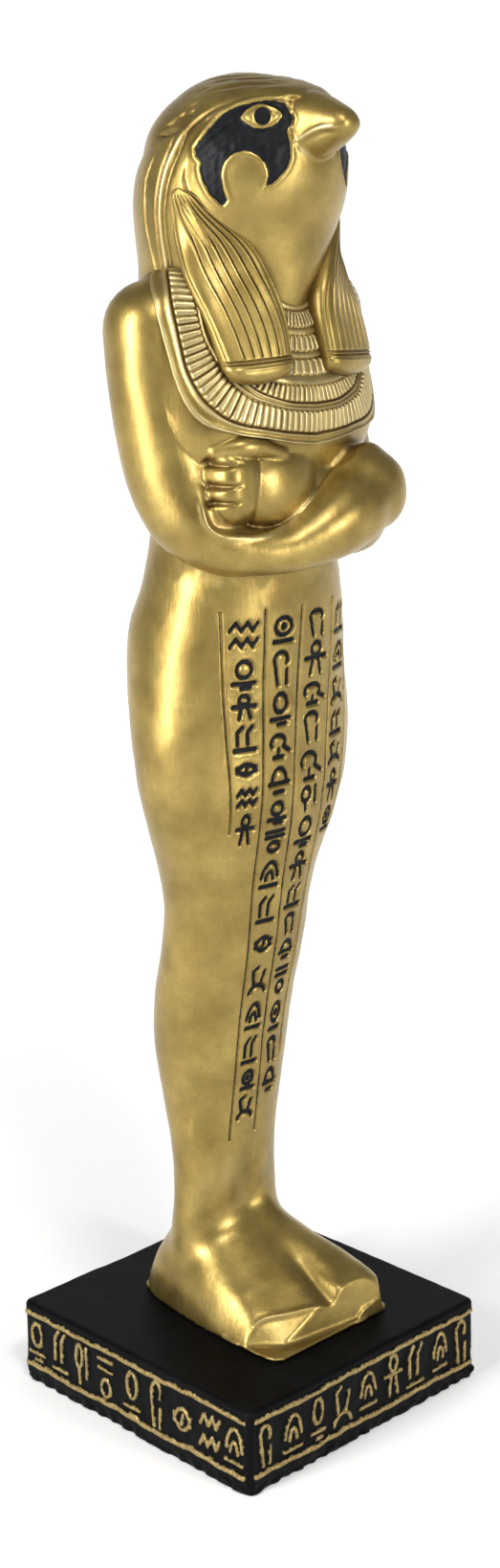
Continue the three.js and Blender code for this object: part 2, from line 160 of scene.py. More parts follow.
# A mesh from points and any number of face arrays, each with its own number of corners.
def meshOf(name, points, *faceSets):
    mesh = bpy.data.meshes.new(name)
    sizes = np.concatenate([np.full(len(faces), faces.shape[1]) for faces in faceSets if len(faces)])
    corners = np.concatenate([faces.ravel() for faces in faceSets if len(faces)]).astype(np.int32)
    mesh.vertices.add(len(points))
    mesh.vertices.foreach_set("co", np.ascontiguousarray(points, np.float32).ravel())
    mesh.loops.add(len(corners))
    mesh.loops.foreach_set("vertex_index", corners)
    mesh.polygons.add(len(sizes))
    mesh.polygons.foreach_set("loop_start", np.concatenate([[0], np.cumsum(sizes)[:-1]]).astype(np.int32))
    mesh.update(calc_edges=True)
    mesh.validate()
    return mesh


def placed(name, mesh):
    piece = bpy.data.objects.new(name, mesh)
    bpy.context.scene.collection.objects.link(piece)
    return piece


# Points and faces of an object after its modifiers; quads and triangles apart.
def finishedArrays(piece):
    graph = bpy.context.evaluated_depsgraph_get()
    mesh = bpy.data.meshes.new_from_object(piece.evaluated_get(graph))
    points = np.empty(len(mesh.vertices) * 3, np.float32)
    mesh.vertices.foreach_get("co", points)
    corners = np.empty(len(mesh.loops), np.int32)
    mesh.loops.foreach_get("vertex_index", corners)
    start = np.empty(len(mesh.polygons), np.int32)
    mesh.polygons.foreach_get("loop_start", start)
    size = np.diff(np.append(start, len(corners)))
    quads = corners[start[size == 4][:, None] + np.arange(4)]
    triangles = corners[start[size == 3][:, None] + np.arange(3)]
    bpy.data.meshes.remove(mesh)
    return points.reshape(-1, 3).astype(float), quads, triangles


def dropped(piece):
    mesh = piece.data
    bpy.data.objects.remove(piece)
    bpy.data.meshes.remove(mesh)


# One skin round several closed shells.
def fused(name, shells, voxel):
    offset, points, quads, fans = 0, [], [], []
    for shellPoints, shellQuads, shellFans in shells:
        points.append(shellPoints)
        quads.append(shellQuads + offset)
        fans.append(shellFans + offset)
        offset += len(shellPoints)
    piece = placed(name, meshOf(name, np.vstack(points), np.vstack(quads), np.vstack(fans)))
    skin = piece.modifiers.new("skin", "REMESH")
    skin.mode = "VOXEL"
    skin.voxel_size = voxel
    points, quads, _ = finishedArrays(piece)
    dropped(piece)
    return points, quads


# The mean of the points that share an edge with each point; count is its number of faces.
def neighbourMean(points, quads, count):
    total = np.zeros_like(points)
    for a, b in ((0, 1), (1, 2), (2, 3), (3, 0)):
        for axis in range(3):
            total[:, axis] += np.bincount(quads[:, a], weights=points[quads[:, b], axis], minlength=len(points))
    return total / np.maximum(count, 1)[:, None]


# Each round moves points half way to the mean of their neighbours and then a little further back, so volume stays.
def relaxed(points, quads, rounds, share=1.0):
    count = np.bincount(quads.ravel(), minlength=len(points))
    share = np.broadcast_to(share, len(points))[:, None]
    for turn in range(2 * rounds):
        pull = 0.5 if turn % 2 == 0 else -0.51
        points = points + share * pull * (neighbourMean(points, quads, count) - points)
    return points


# Plain averaging of part of a mesh, which rounds its creases out; only points with a share move.
def softened(points, quads, rounds, share):
    used, local = np.unique(quads[(share > 0.01)[quads].any(axis=1)], return_inverse=True)
    local = local.reshape(-1, 4)
    count = np.bincount(local.ravel(), minlength=len(used))
    part, weight = points[used], 0.5 * share[used][:, None]
    for _ in range(rounds):
        part = part + weight * (neighbourMean(part, local, count) - part)
    points = points.copy()
    points[used] = part
    return points


# Outward direction at each point: the sum of the crossed diagonals of its faces, made one long.
def normalsOf(points, quads):
    face = np.cross(points[quads[:, 2]] - points[quads[:, 0]], points[quads[:, 3]] - points[quads[:, 1]])
    normals = np.zeros_like(points)
    for corner in range(4):
        for axis in range(3):
            normals[:, axis] += np.bincount(quads[:, corner], weights=face[:, axis], minlength=len(points))
    return normals / np.maximum(np.linalg.norm(normals, axis=1), 1e-12)[:, None]


# Fewer triangles where the surface is plain: weight 1 may go, weight 0 stays.
def thinned(name, points, quads, plain, target):
    piece = placed(name, meshOf(name, points, quads))
    group = piece.vertex_groups.new(name="plain")
    levels = np.round(plain * 10).astype(int)
    for level in range(1, 11):
        group.add(np.flatnonzero(levels == level).tolist(), level / 10, "REPLACE")
    thin = piece.modifiers.new("thin", "DECIMATE")
    thin.ratio = min(1.0, target / (2 * len(quads)))
    thin.use_collapse_triangulate = True
    thin.vertex_group = "plain"
    points, quads, triangles = finishedArrays(piece)
    dropped(piece)
    return points, quads, triangles


# A number at every point, for the paints.
def attributeOn(piece, name, values):
    attribute = piece.data.attributes.new(name, "FLOAT", "POINT")
    attribute.data.foreach_set("value", np.ascontiguousarray(values, np.float32))


# A piece of the model in metres, made from points in millimetres.
def finishedPiece(name, points, *faceSets):
    mesh = meshOf(name, points * millimetre, *faceSets)
    mesh.shade_smooth()
    piece = placed(name, mesh)
    print(name, "triangles", sum(len(f) * (f.shape[1] - 2) for f in faceSets))
    return piece


# Points as side, forward and height, where side counts outwards from the middle on either half.
def halfView(points):
    return np.column_stack([np.abs(points[:, 0]), -points[:, 1], points[:, 2]])


# A sine or cosine to the power 2/n with its sign kept, which makes an oval squarer as n grows.
def squared(value, squareness):
    return np.sign(value) * np.abs(value) ** (2.0 / squareness)


# Squared oval at each height: x = half width * cos^(2/n), y = half depth * sin^(2/n) - forward.
def ovalRings(rows, heights, around):
    heights = np.asarray(heights, float)
    angle = fullTurn(around) - np.pi / 2
    halfWidth, halfDepth, forward, squareness = [c[:, None] for c in tableCurve(rows)(heights).T]
    x = halfWidth * squared(np.cos(angle)[None], squareness)
    y = halfDepth * squared(np.sin(angle)[None], squareness) - forward
    return np.stack([x, y, np.broadcast_to(heights[:, None], x.shape)], -1)


# A round tube along stations of side, forward, height and radius, with a half ball at either end.
def roundTube(stations, side=1, around=48, perStation=8):
    rows = [[i, side * x, -forward, z, r] for i, (x, forward, z, r) in enumerate(stations)]
    at = tableCurve(rows)(np.linspace(0, len(rows) - 1, perStation * (len(rows) - 1) + 1))
    centre, radius = at[:, :3], at[:, 3]
    along = np.gradient(centre, axis=0)
    along /= np.linalg.norm(along, axis=1)[:, None]
    dome = np.radians(np.arange(84, 0, -12))
    back = dome[::-1]
    front = centre[0] - along[0] * radius[0] * np.sin(dome)[:, None]
    behind = centre[-1] + along[-1] * radius[-1] * np.sin(back)[:, None]
    centre = np.vstack([front, centre, behind])
    along = np.vstack([np.repeat(along[:1], len(dome), 0), along, np.repeat(along[-1:], len(back), 0)])
    radius = np.concatenate([radius[0] * np.cos(dome), radius, radius[-1] * np.cos(back)])
    normal = np.array([0.3, 1.0, 0.2])
    normals = []
    for direction in along:  # the normal is carried from ring to ring without twist
        normal = normal - direction * (normal @ direction)
        normal /= np.linalg.norm(normal)
        normals.append(normal)
    normals = np.array(normals)
    binormals = np.cross(along, normals)
    angle = fullTurn(around)
    rings = (centre[:, None] + radius[:, None, None]
             * (normals[:, None] * np.cos(angle)[None, :, None] + binormals[:, None] * np.sin(angle)[None, :, None]))
    return closedTube(rings)


# Body, feet, arms, hands and the mantle under the collar become one skin.
wrappedBody = {
    "voxel": 0.26,
    "triangles": 196000,
    # height, half width, half depth, forward shift of the centre, squareness
    "sections": [
        [24, 11.5, 6.4, -6.6, 2.2], [31, 12.4, 6.5, -6.5, 2.2], [36, 12.0, 6.3, -6.3, 2.2],
        [42, 11.4, 6.9, -6.5, 2.2], [50, 11.4, 7.7, -6.9, 2.2], [60, 12.5, 9.2, -7.2, 2.2],
        [69, 13.8, 10.0, -7.1, 2.2], [77, 14.5, 10.1, -6.1, 2.2], [86, 14.8, 9.7, -4.0, 2.2],
        [94, 14.9, 10.0, -2.9, 2.2], [101, 16.3, 10.9, -2.5, 2.2], [109, 19.3, 11.9, -1.8, 2.2],
        [117, 21.8, 12.5, -1.4, 2.2], [126, 22.8, 13.1, -1.8, 2.2], [136, 21.8, 14.7, -3.0, 2.2],
        [145, 20.5, 15.4, -3.1, 2.2], [153, 18.6, 14.4, -1.7, 2.2], [162, 16.8, 13.6, -1.6, 2.2],
        [173, 17.4, 14.6, -2.0, 2.2], [185, 18.6, 16.0, -2.6, 2.4], [193, 18.8, 15.8, -3.0, 2.5],
        [199, 17.6, 14.0, -3.4, 2.6], [203, 14.0, 11.0, -3.5, 2.3],
    ],
    "stations": [[24, 202.8, 299]],
    "shinGroove": [1.5, 2.2, 52, 16],   # depth, width, top, and how far down from there it fades in
    "unevenness": 0.07,
    "relaxing": 5,
    "handRelaxing": [20, 0.8],   # more rounds on hands and forearms, and the share of each
    "handBand": [154, 158, 180, 186],
    # rounds of averaging, their share, and where along x, y and z it starts, is full, fades and ends
    "softening": [
        [420, 1.0, [-99, -98, 98, 99], [-13, -5, 98, 99], [23, 28, 44, 54]],     # ankles into feet
        [70, 0.8, [-99, -98, 98, 99], [-99, -98, -9, -3], [24, 26.5, 34, 38]],   # top of the toes
        [160, 0.9, [4, 8, 98, 99], [-99, -98, -10, -7], [157, 160, 173, 177]],   # wrist of the left fist
    ],
    "burr": 0.07,
    "detail": [0.6, 0.5],        # how much of the fine mesh stays on hands and feet; signs keep all of it
}
foot = {
    # forward distance, half width, ridge height, root of the near side's curve, squareness of the far side
    "sections": [
        [-18.1, 6.0, 3.0, 0.5, 2.2], [-17.5, 8.8, 6.5, 0.5, 2.2], [-15.8, 10.8, 11.5, 0.5, 2.2],
        [-12.5, 12.3, 16.5, 0.5, 2.1], [-7.0, 13.5, 19.0, 0.5, 2.0], [-1.0, 14.2, 18.9, 0.52, 2.4],
        [3.5, 14.6, 17.0, 0.6, 2.6], [9.0, 15.0, 14.4, 0.74, 3.0], [14.0, 15.4, 11.8, 0.92, 4.0],
        [17.2, 15.4, 10.0, 1.0, 5.0], [19.0, 15.2, 8.8, 1.0, 6.0], [20.4, 14.8, 7.8, 1.0, 6.0],
        [21.4, 13.6, 6.0, 1.0, 6.0],
    ],
    "stations": [[-18.1, 17, 106], [17.2, 21.4, 34]],
    "lean": 0.6,                 # the toes point a little to the left
    "seat": 16.1,
    "groove": 1.5,
    "grooveSide": 0.9,
    "grooveWidth": 1.7,
    "blend": 0.7,                # rounding between the top and the cut faces
    # the cut faces at the toes: a point of side, forward, height, and the way each faces
    "toeFaces": [
        [[-11.5, 13.6, 20.7], [-0.344, 0.504, 0.7925]],
        [[-14.8, 13.5, 16.3], [-0.67, 0.52, 0.527]],
        [[-11.5, 13.6, 20.4], [-0.42, 0.615, 0.668]],
        [[-2.3, 19.7, 16.3], [-0.147, 0.984, 0.094]],
        [[9.6, 21.3, 16.3], [-0.133, 0.98, 0.12]],
        [[15.9, 18.6, 16.3], [0.78, 0.60, 0.18]],
    ],
    # side and forward of the sole's corners, counter-clockwise from the heel
    "outline": [[0, -18.0], [7.0, -17.9], [10.2, -15.9], [12.2, -12.0], [13.6, -6.0], [14.5, 2.0], [15.1, 10.0],
                [15.4, 17.6], [13.6, 20.4], [9.6, 21.0], [0.0, 20.2], [-6.0, 19.3], [-10.6, 18.1], [-14.2, 13.4],
                [-13.9, 5.0], [-12.6, -4.0], [-11.3, -13.0], [-9.6, -17.2], [-6.0, -18.0]],
    "flashWidth": 0.55,
    "flashHeight": 0.45,
    # carved strokes: side, forward, height; half width; depth, below zero where a stroke stands proud
    "strokes": [
        [[-4.9, -0.4, 50.0, 2.2, 0.0], [-5.1, -0.2, 43.0, 2.2, -0.28], [-5.7, 0.9, 37.5, 2.2, -0.16],
         [-6.2, 2.4, 34.0, 2.4, 0.0]],
        [[-9.2, -2.0, 48.0, 2.2, 0.0], [-9.6, -1.0, 40.0, 2.2, -0.25], [-9.9, 0.6, 35.0, 2.3, 0.0]],
        [[3.6, -0.6, 50.0, 2.0, 0.0], [3.7, -0.2, 42.0, 2.0, -0.28], [4.0, 1.0, 37.0, 2.1, -0.15],
         [4.4, 3.0, 33.6, 2.2, 0.0]],
        [[1.0, 12.0, 27.4, 0.8, 0.2], [1.0, 17.0, 25.0, 0.7, 0.5], [1.2, 19.2, 23.4, 0.7, 0.8],
         [1.6, 20.6, 21.8, 0.8, 0.7]],
        [[-13.0, 13.3, 18.4, 0.5, -0.1], [-11.5, 13.7, 20.3, 0.5, -0.35], [-6.0, 16.6, 21.1, 0.5, -0.3],
         [-0.8, 19.3, 21.7, 0.5, -0.2]],
        [[2.8, 17.0, 25.0, 1.0, -0.1], [3.6, 19.2, 24.0, 0.9, -0.25]],
    ],
}
arm = {
    # side, forward, height, radius from shoulder to wrist
    "front": [[18.9, -4.0, 196.0, 8.0], [19.2, -3.0, 188.0, 7.7], [18.7, -1.3, 179.0, 7.9], [17.9, 1.0, 170.5, 7.7],
              [16.6, 4.6, 164.8, 7.1], [14.0, 8.6, 161.0, 5.1], [10.0, 12.0, 160.0, 3.9], [5.5, 14.0, 160.2, 4.1],
              [2.0, 14.8, 161.3, 5.0], [-1.5, 15.2, 162.8, 6.0], [-5.0, 15.2, 164.2, 6.7], [-9.0, 15.0, 165.8, 7.0]],
    "rear": [[18.9, -4.0, 196.0, 8.0], [19.2, -3.0, 188.0, 7.7], [18.7, -1.3, 179.0, 7.9], [18.6, 1.2, 170.0, 8.1],
             [18.0, 6.4, 163.4, 7.5], [12.4, 9.2, 164.6, 6.8], [4.0, 9.2, 168.4, 5.8], [-3.0, 9.0, 171.0, 5.6],
             [-8.0, 9.0, 171.8, 5.6]],
}
hand = {
    # side, forward and height of the middle, half width, half depth, half height, squareness
    "lumps": [
        [-4.9, 9.3, 170.5, 9.5, 6.6, 7.8, 2.2],      # back of the hand on the figure's right breast
        [-14.2, 8.4, 171.0, 4.9, 6.0, 6.6, 2.7],     # its curled fingers
        [13.4, 14.2, 168.0, 7.7, 6.9, 7.3, 2.3],     # the fist on the left breast
    ],
    # side, forward, height, radius along each thumb
    "thumbs": [
        [[-17.4, 9.4, 177.0, 1.5], [-14.2, 12.2, 177.6, 1.75], [-11.0, 13.2, 177.5, 1.6], [-9.2, 13.7, 177.0, 1.25],
         [-6.2, 13.6, 176.0, 1.4]],
        [[10.4, 14.2, 173.6, 1.9], [13.4, 14.9, 174.2, 2.2], [17.0, 13.4, 173.6, 2.0]],
    ],
    # carved strokes, seen obliquely from the figure's right: how much of side and of forward counts there
    "view": [0.704, 0.71],
    # place in that view, height; half width; depth, below zero where a stroke stands proud
    "strokes": [
        [[-6.8, 175.1, 0.62, 1.0], [-3.6, 175.1, 0.5, 0.85], [-0.9, 175.3, 0.22, 0.2]],
        [[-6.6, 171.6, 0.60, 1.0], [-3.6, 171.6, 0.46, 0.85], [-1.0, 171.8, 0.22, 0.2]],
        [[-6.2, 168.8, 0.58, 0.95], [-3.6, 168.8, 0.44, 0.75], [-1.3, 169.0, 0.22, 0.2]],
        [[-0.2, 176.6, 1.2, 0.0], [-0.4, 173.0, 1.4, 0.08], [-0.5, 169.0, 1.4, 0.05], [-0.2, 166.0, 1.2, 0.0]],
        [[1.6, 176.8, 1.1, -0.05], [1.4, 173.0, 1.2, -0.16], [1.7, 169.0, 1.2, 0.0]],
        # raised lines at the fist's lower edge and along the front forearm's upper edge; the paint gives them a
        # painted highlight
        [[-8.0, 171.0, 0.6, -0.1], [-7.7, 168.0, 0.6, -0.35], [-6.5, 164.8, 0.6, -0.4], [-3.8, 163.2, 0.6, -0.3],
         [-0.5, 162.8, 0.6, -0.1]],
        [[-3.4, 163.4, 0.5, -0.1], [0.5, 162.9, 0.5, -0.35], [3.9, 163.3, 0.5, -0.4], [7.1, 165.2, 0.5, -0.4],
         [10.2, 168.3, 0.5, -0.4], [13.7, 171.4, 0.5, -0.35], [18.5, 174.6, 0.5, -0.1]],
        [[-6.4, 167.2, 0.7, 0.1], [-5.2, 165.2, 0.7, 0.3], [-2.8, 164.4, 0.7, 0.3], [0.5, 164.0, 0.7, 0.1]],
    ],
    "zone": [160, 180, 5],       # lowest and highest point, and least forward distance
}
mantle = {
    # height, half width, depth in front, depth behind, squareness, about a line that lies axis forward of the middle
    "sections": [
        [170, 17.0, 15.5, 12.0, 2.3], [174, 22.0, 16.8, 12.0, 2.3], [177, 24.0, 17.6, 12.0, 2.3],
        [180, 24.8, 17.9, 12.0, 2.3], [184, 25.3, 17.8, 12.0, 2.1], [188, 25.7, 17.1, 12.0, 1.9],
        [192, 25.7, 16.1, 12.0, 1.8], [196, 25.1, 14.9, 12.0, 1.85], [200, 23.8, 13.3, 11.5, 2.0],
        [203, 21.2, 12.0, 10.5, 2.0], [205, 17.5, 10.6, 9.5, 2.0], [206, 13.0, 9.0, 8.0, 2.0],
    ],
    "stations": [[170, 206, 80]],
    "axis": -3.0,
    "farFullness": 0.05,         # how much wider it is on the left
}


# A point of the mantle that fills chest and shoulders: reach from its axis = (|sin/a|^n + |cos/b|^n)^(-1/n).
def onMantle(angle, height):
    halfWidth, front, behind, n = np.moveaxis(tableCurve(mantle["sections"])(height), -1, 0)
    halfWidth = halfWidth * (1 + mantle["farFullness"] * smooth(np.sin(angle), 0.1, 0.8))
    depth = np.where(np.cos(angle) > 0, front, behind)
    reach = (np.abs(np.sin(angle) / halfWidth) ** n + np.abs(np.cos(angle) / depth) ** n) ** (-1 / n)
    return np.stack([reach * np.sin(angle), -(reach * np.cos(angle) + mantle["axis"]), height], -1)


# Rings of mantle points from its lowest to its highest section.
def mantleShell():
    height = stretches(mantle["stations"])[:, None]
    return closedTube(onMantle(*np.broadcast_arrays(fullTurn(260)[None], height)))


# Body rings, with a trough down the front between the shins: depth * fade * bell(x).
def bodyShell():
    rings = ovalRings(wrappedBody["sections"], stretches(wrappedBody["stations"]), around=260)
    depth, width, top, fadeLength = wrappedBody["shinGroove"]
    fade = smooth(top - rings[..., 2], 0, fadeLength)
    front = rings[..., 1] < 6.5  # before the middle of the shins
    rings[..., 1] += np.where(front, depth * fade * bell(rings[..., 0], width), 0)
    return closedTube(rings)


# A soft minimum: -k log(sum of exp(-value / k)), so that faces meet in a rounded edge.
def lowest(k, *values):
    least = np.minimum.reduce(values)
    return least - k * np.log(sum(np.exp(-np.minimum(value - least, 30 * k) / k) for value in values))


# Feet as one block: height = ridge * (1 - |x/w|^2)^root on the near side and ridge * (1 - |x/w|^n)^(1/2) on the
# far one, less a trough between the feet, cut by the flat toe faces.
def feetShell():
    forward = stretches(foot["stations"])
    halfWidth, ridge, root, squareness = [c[:, None] for c in tableCurve(foot["sections"])(forward).T]
    across = -np.cos(np.linspace(0, np.pi, 120))[None]
    x = halfWidth * across
    near = np.clip(1 - across**2, 0, 1) ** root
    far = np.sqrt(np.clip(1 - np.abs(across) ** squareness, 0, 1))
    crown = near + (far - near) * smooth(x, -5, 4)
    trough = np.minimum(foot["groove"], ridge * 0.3) * bell(x - foot["grooveSide"], foot["grooveWidth"])
    z = foot["seat"] + ridge * crown
    x = x + foot["lean"] * smooth(forward, 4, 14)[:, None]
    faces = [heightAt - (sideways * (x - sideAt) + ahead * (forward[:, None] - forwardAt)) / upward
             for (sideAt, forwardAt, heightAt), (sideways, ahead, upward) in foot["toeFaces"]]
    z = lowest(foot["blend"], z, faces[0]) - trough
    z = np.minimum(z, lowest(foot["blend"], *faces[1:4]))
    z = np.minimum(z, np.minimum(faces[4], faces[5]))
    z = np.maximum(z, foot["seat"] + 0.5)
    y = np.broadcast_to(-forward[:, None], x.shape)
    top = np.stack([x, y, z], -1)
    soleX = x[:, -1:] + (x[:, :1] - x[:, -1:]) * np.linspace(0, 1, 12)[None]
    sole = np.stack([soleX, np.broadcast_to(y[:, :1], soleX.shape), np.full(soleX.shape, foot["seat"])], -1)
    return closedTube(np.concatenate([top, sole], axis=1)[:, ::-1])


# The thin lip that the mould left round the feet, a little wider than the sole and unevenly cut.
def flashShell():
    outline = np.array(foot["outline"], float)
    outline = evenPath(np.vstack([outline, outline[:1]]), 0.3)[:-1]
    edge = np.column_stack([outline[:, 0], -outline[:, 1], np.zeros(len(outline))])
    widen = foot["flashWidth"] * (1 + 0.5 * unevenness(edge, 7.0, 21))
    out = edge - edge.mean(0)
    out /= np.linalg.norm(out, axis=1)[:, None]
    levels = [(0.0, 0.9), (0.15, 1.0), (foot["flashHeight"], 0.8), (foot["flashHeight"] + 0.4, -0.5)]
    rings = np.stack([edge + out * (widen * share)[:, None] + [0, 0, foot["seat"] + rise] for rise, share in levels])
    return closedTube(rings)


# A closed squared ball: each coordinate is its half size times sin^(2/n) or cos^(2/n) of the two angles.
def lumpShell(side, forward, z, halfWidth, halfDepth, halfHeight, squareness):
    rise = np.radians(np.linspace(-86, 86, 44))[:, None]
    turn = (fullTurn(96) - np.pi / 2)[None]
    flat = squared(np.cos(rise), squareness)
    x = side + halfWidth * flat * squared(np.cos(turn), squareness)
    y = -forward + halfDepth * flat * squared(np.sin(turn), squareness)
    height = z + halfHeight * squared(np.sin(rise), squareness)
    return closedTube(np.stack([x, y, np.broadcast_to(height, x.shape)], -1))


collar = {
    # length along the band from the middle, then angle round the axis and height of six curves:
    # outer edge, start of the bars, end of the bars, start and end of the bead row, neck
    "curves": [
        [0.0, 0, 177.1, 0, 178.9, 0, 182.8, 0, 183.8, 0, 186.9, 0, 201.5],
        [5.0, 17, 177.7, 18, 179.4, 17.5, 183.2, 16, 184.1, 14, 187.1, 3.5, 201.6],
        [10.3, 32, 178.6, 31.6, 180.1, 29.5, 184.1, 27, 184.9, 24, 187.5, 7, 201.8],
        [14.6, 43.5, 179.2, 42.9, 180.8, 38.5, 185.1, 35, 185.9, 31, 188.1, 10, 202.1],
        [17.7, 51.5, 179.9, 50.2, 181.9, 44, 186.5, 40.3, 187.1, 36, 189.0, 12, 202.4],
        [20.1, 57.5, 180.7, 55.3, 183.4, 47.3, 187.6, 43.8, 188.2, 39, 190.1, 14, 202.8],
        [22.4, 62, 182.1, 59.4, 185.0, 50.2, 188.9, 46.8, 189.4, 41.5, 191.3, 16, 203.2],
        [25.5, 66.3, 184.6, 63.6, 187.6, 53.4, 190.6, 50.4, 191.2, 44, 193.0, 18, 203.7],
        [28.7, 70.2, 188.2, 66.8, 190.5, 56.5, 192.6, 53.4, 193.0, 46, 195.0, 20, 204.2],
        [32.3, 74, 193.2, 69.0, 193.9, 60, 195.2, 56.7, 195.4, 48, 197.0, 22, 204.6],
        [38.8, 79.8, 199.9, 73.6, 200.2, 63.9, 200.0, 61.3, 199.8, 51, 200.5, 23, 205.0],
        [43.1, 85, 202.6, 78.4, 203.4, 67.5, 203.0, 64.5, 202.7, 53, 203.0, 24, 205.3],
        [46.2, 91, 204.6, 84, 205.0, 71, 204.9, 67, 204.7, 55, 204.8, 25, 205.5],
    ],
    "columns": 640,
    # the grid's rows: from and to by curve number, and how many
    "rows": [[-0.12, 0.0, 3], [0.02, 1.0, 15], [1.03, 2.0, 20], [2.04, 3.0, 12], [3.04, 4.0, 15], [4.01, 5.0, 64]],
    "sheet": 0.72,               # thickness over the mantle
    # pitch along the band, width of the row, height, and how far the gaps lie back
    "bars": [1.2, 3.6, 0.66, 0.4092],
    "beads": [1.0, 3.0, 0.561, 0.396],
    "smallBars": [0.85, 2.9, 0.528, 0.3],
    # plain ridges by curve number: place, width, height
    "rims": [[0.16, 0.12, 0.16], [0.84, 0.1, 0.2], [0.5, 0.2, -0.1]],
    "doubleLine": [[2.16, 0.13, 0.22], [2.84, 0.13, 0.22], [2.5, 0.15, -0.06]],
    "neckLine": [[4.03, 0.03, 0.1]],
    # rows of small bars by curve number: start, pitch, how many, and the share of the pitch that isn't ledge
    "smallRows": [4.09, 0.257, 3, 0.76],
    "ledge": 0.2,
    "stepBack": 0.16,            # each of these rows leans back by this towards the neck
    "tilt": 0.03,                # the band hangs a little lower on the left
}


# A row of upright bars with quarter-round sides, faded towards both edges of the row. across runs from 0 to 1.
def barRow(kind, run, across):
    pitch, wide, height, back = collar[kind]
    gap = np.abs(np.mod(run / pitch, 1.0) - 0.5) * 2  # 0 in the middle of a gap
    edge = np.minimum(across, 1 - across) * wide
    body = np.sqrt(np.clip(1 - (1 - np.clip(gap / 0.75, 0, 1)) ** 2, 0, 1))
    return height * (body * smooth(edge, 0.05, 0.4)) - back


# Relief over the sheet by curve number w: rims, bars, a thin double line, beads, then rows of short bars.
def collarRelief(w, run):
    start, pitch, count, share = collar["smallRows"]
    row = (w - start) / pitch
    part = row - np.floor(row)
    small = barRow("smallBars", run(4.6), np.clip(part / share, 0, 1))
    ledge = collar["ledge"] * bell((part - (share + 1) / 2) / (1 - share), 0.5)
    small = np.where(part < share, small, ledge) + collar["stepBack"] * (1 - part) - 0.1
    return np.select([w < 1, w < 2, w < 3, w < 4, (row < 0) | (row > count)],
                     [ridges(w, collar["rims"]), barRow("bars", run(1.5), w - 1), ridges(w, collar["doubleLine"]),
                      barRow("beads", run(3.5), w - 3), ridges(w, collar["neckLine"])], small)


# Columns run round the chest, rows from the outer edge to the neck, both laid on the mantle and raised by the relief.
def makeCollar():
    end = collar["curves"][-1][0]
    run = np.linspace(-end, end, collar["columns"])
    curves = tableCurve(collar["curves"])(np.abs(run))
    angles, heights = np.radians(curves[:, 0::2]) * np.sign(run)[:, None], curves[:, 1::2]
    rows = stretches(collar["rows"])
    lower = np.clip(np.floor(rows).astype(int), 0, 4)
    share = rows - lower
    angle = angles[:, lower] * (1 - share) + angles[:, lower + 1] * share
    height = heights[:, lower] * (1 - share) + heights[:, lower + 1] * share
    base = onMantle(angle, height)
    base[..., 2] -= collar["tilt"] * base[..., 0] * (1 - smooth(height, 186, 196))
    normal = np.cross(np.gradient(base, axis=0), np.gradient(base, axis=1))
    normal /= np.linalg.norm(normal, axis=2)[..., None]

    def runAt(w):
        column = base[:, np.argmin(np.abs(rows - w))]
        length = runAlong(column)
        return (length - length[len(length) // 2])[:, None]

    w = np.broadcast_to(rows, height.shape)
    rim = smooth(w, -0.1, 0.06)
    wobble = 0.05 * unevenness(base.reshape(-1, 3), 5.0, 31).reshape(w.shape)
    lift = (collar["sheet"] + collarRelief(w, runAt) + wobble) * rim - 0.7 * (1 - rim)
    top = base + normal * lift[..., None]
    under = (base - normal * 1.6)[:, ::-8]  # hidden inside the body, so every eighth row will do
    piece = finishedPiece("broadCollar", *closedTube(np.concatenate([top, under], axis=1)))
    # The relief again, for the paint: painted highlight on bars, beads and rims, painted shade in the gaps between
    # them.
    carving = np.concatenate([collarRelief(w, runAt) + 0.08, np.zeros(under.shape[:2])], axis=1)
    attributeOn(piece, "carving", np.append(carving.ravel(), [0, 0]))
    return piece


# Points along part of an oval, by its middle, its radii and two angles.
def arc(cx, cy, radiusX, radiusY, fromDegrees, toDegrees, steps=10):
    angle = np.radians(np.linspace(fromDegrees, toDegrees, steps + 1))
    return np.column_stack([cx + radiusX * np.cos(angle), cy + radiusY * np.sin(angle)])


def line(*corners):
    return np.array(corners, float)


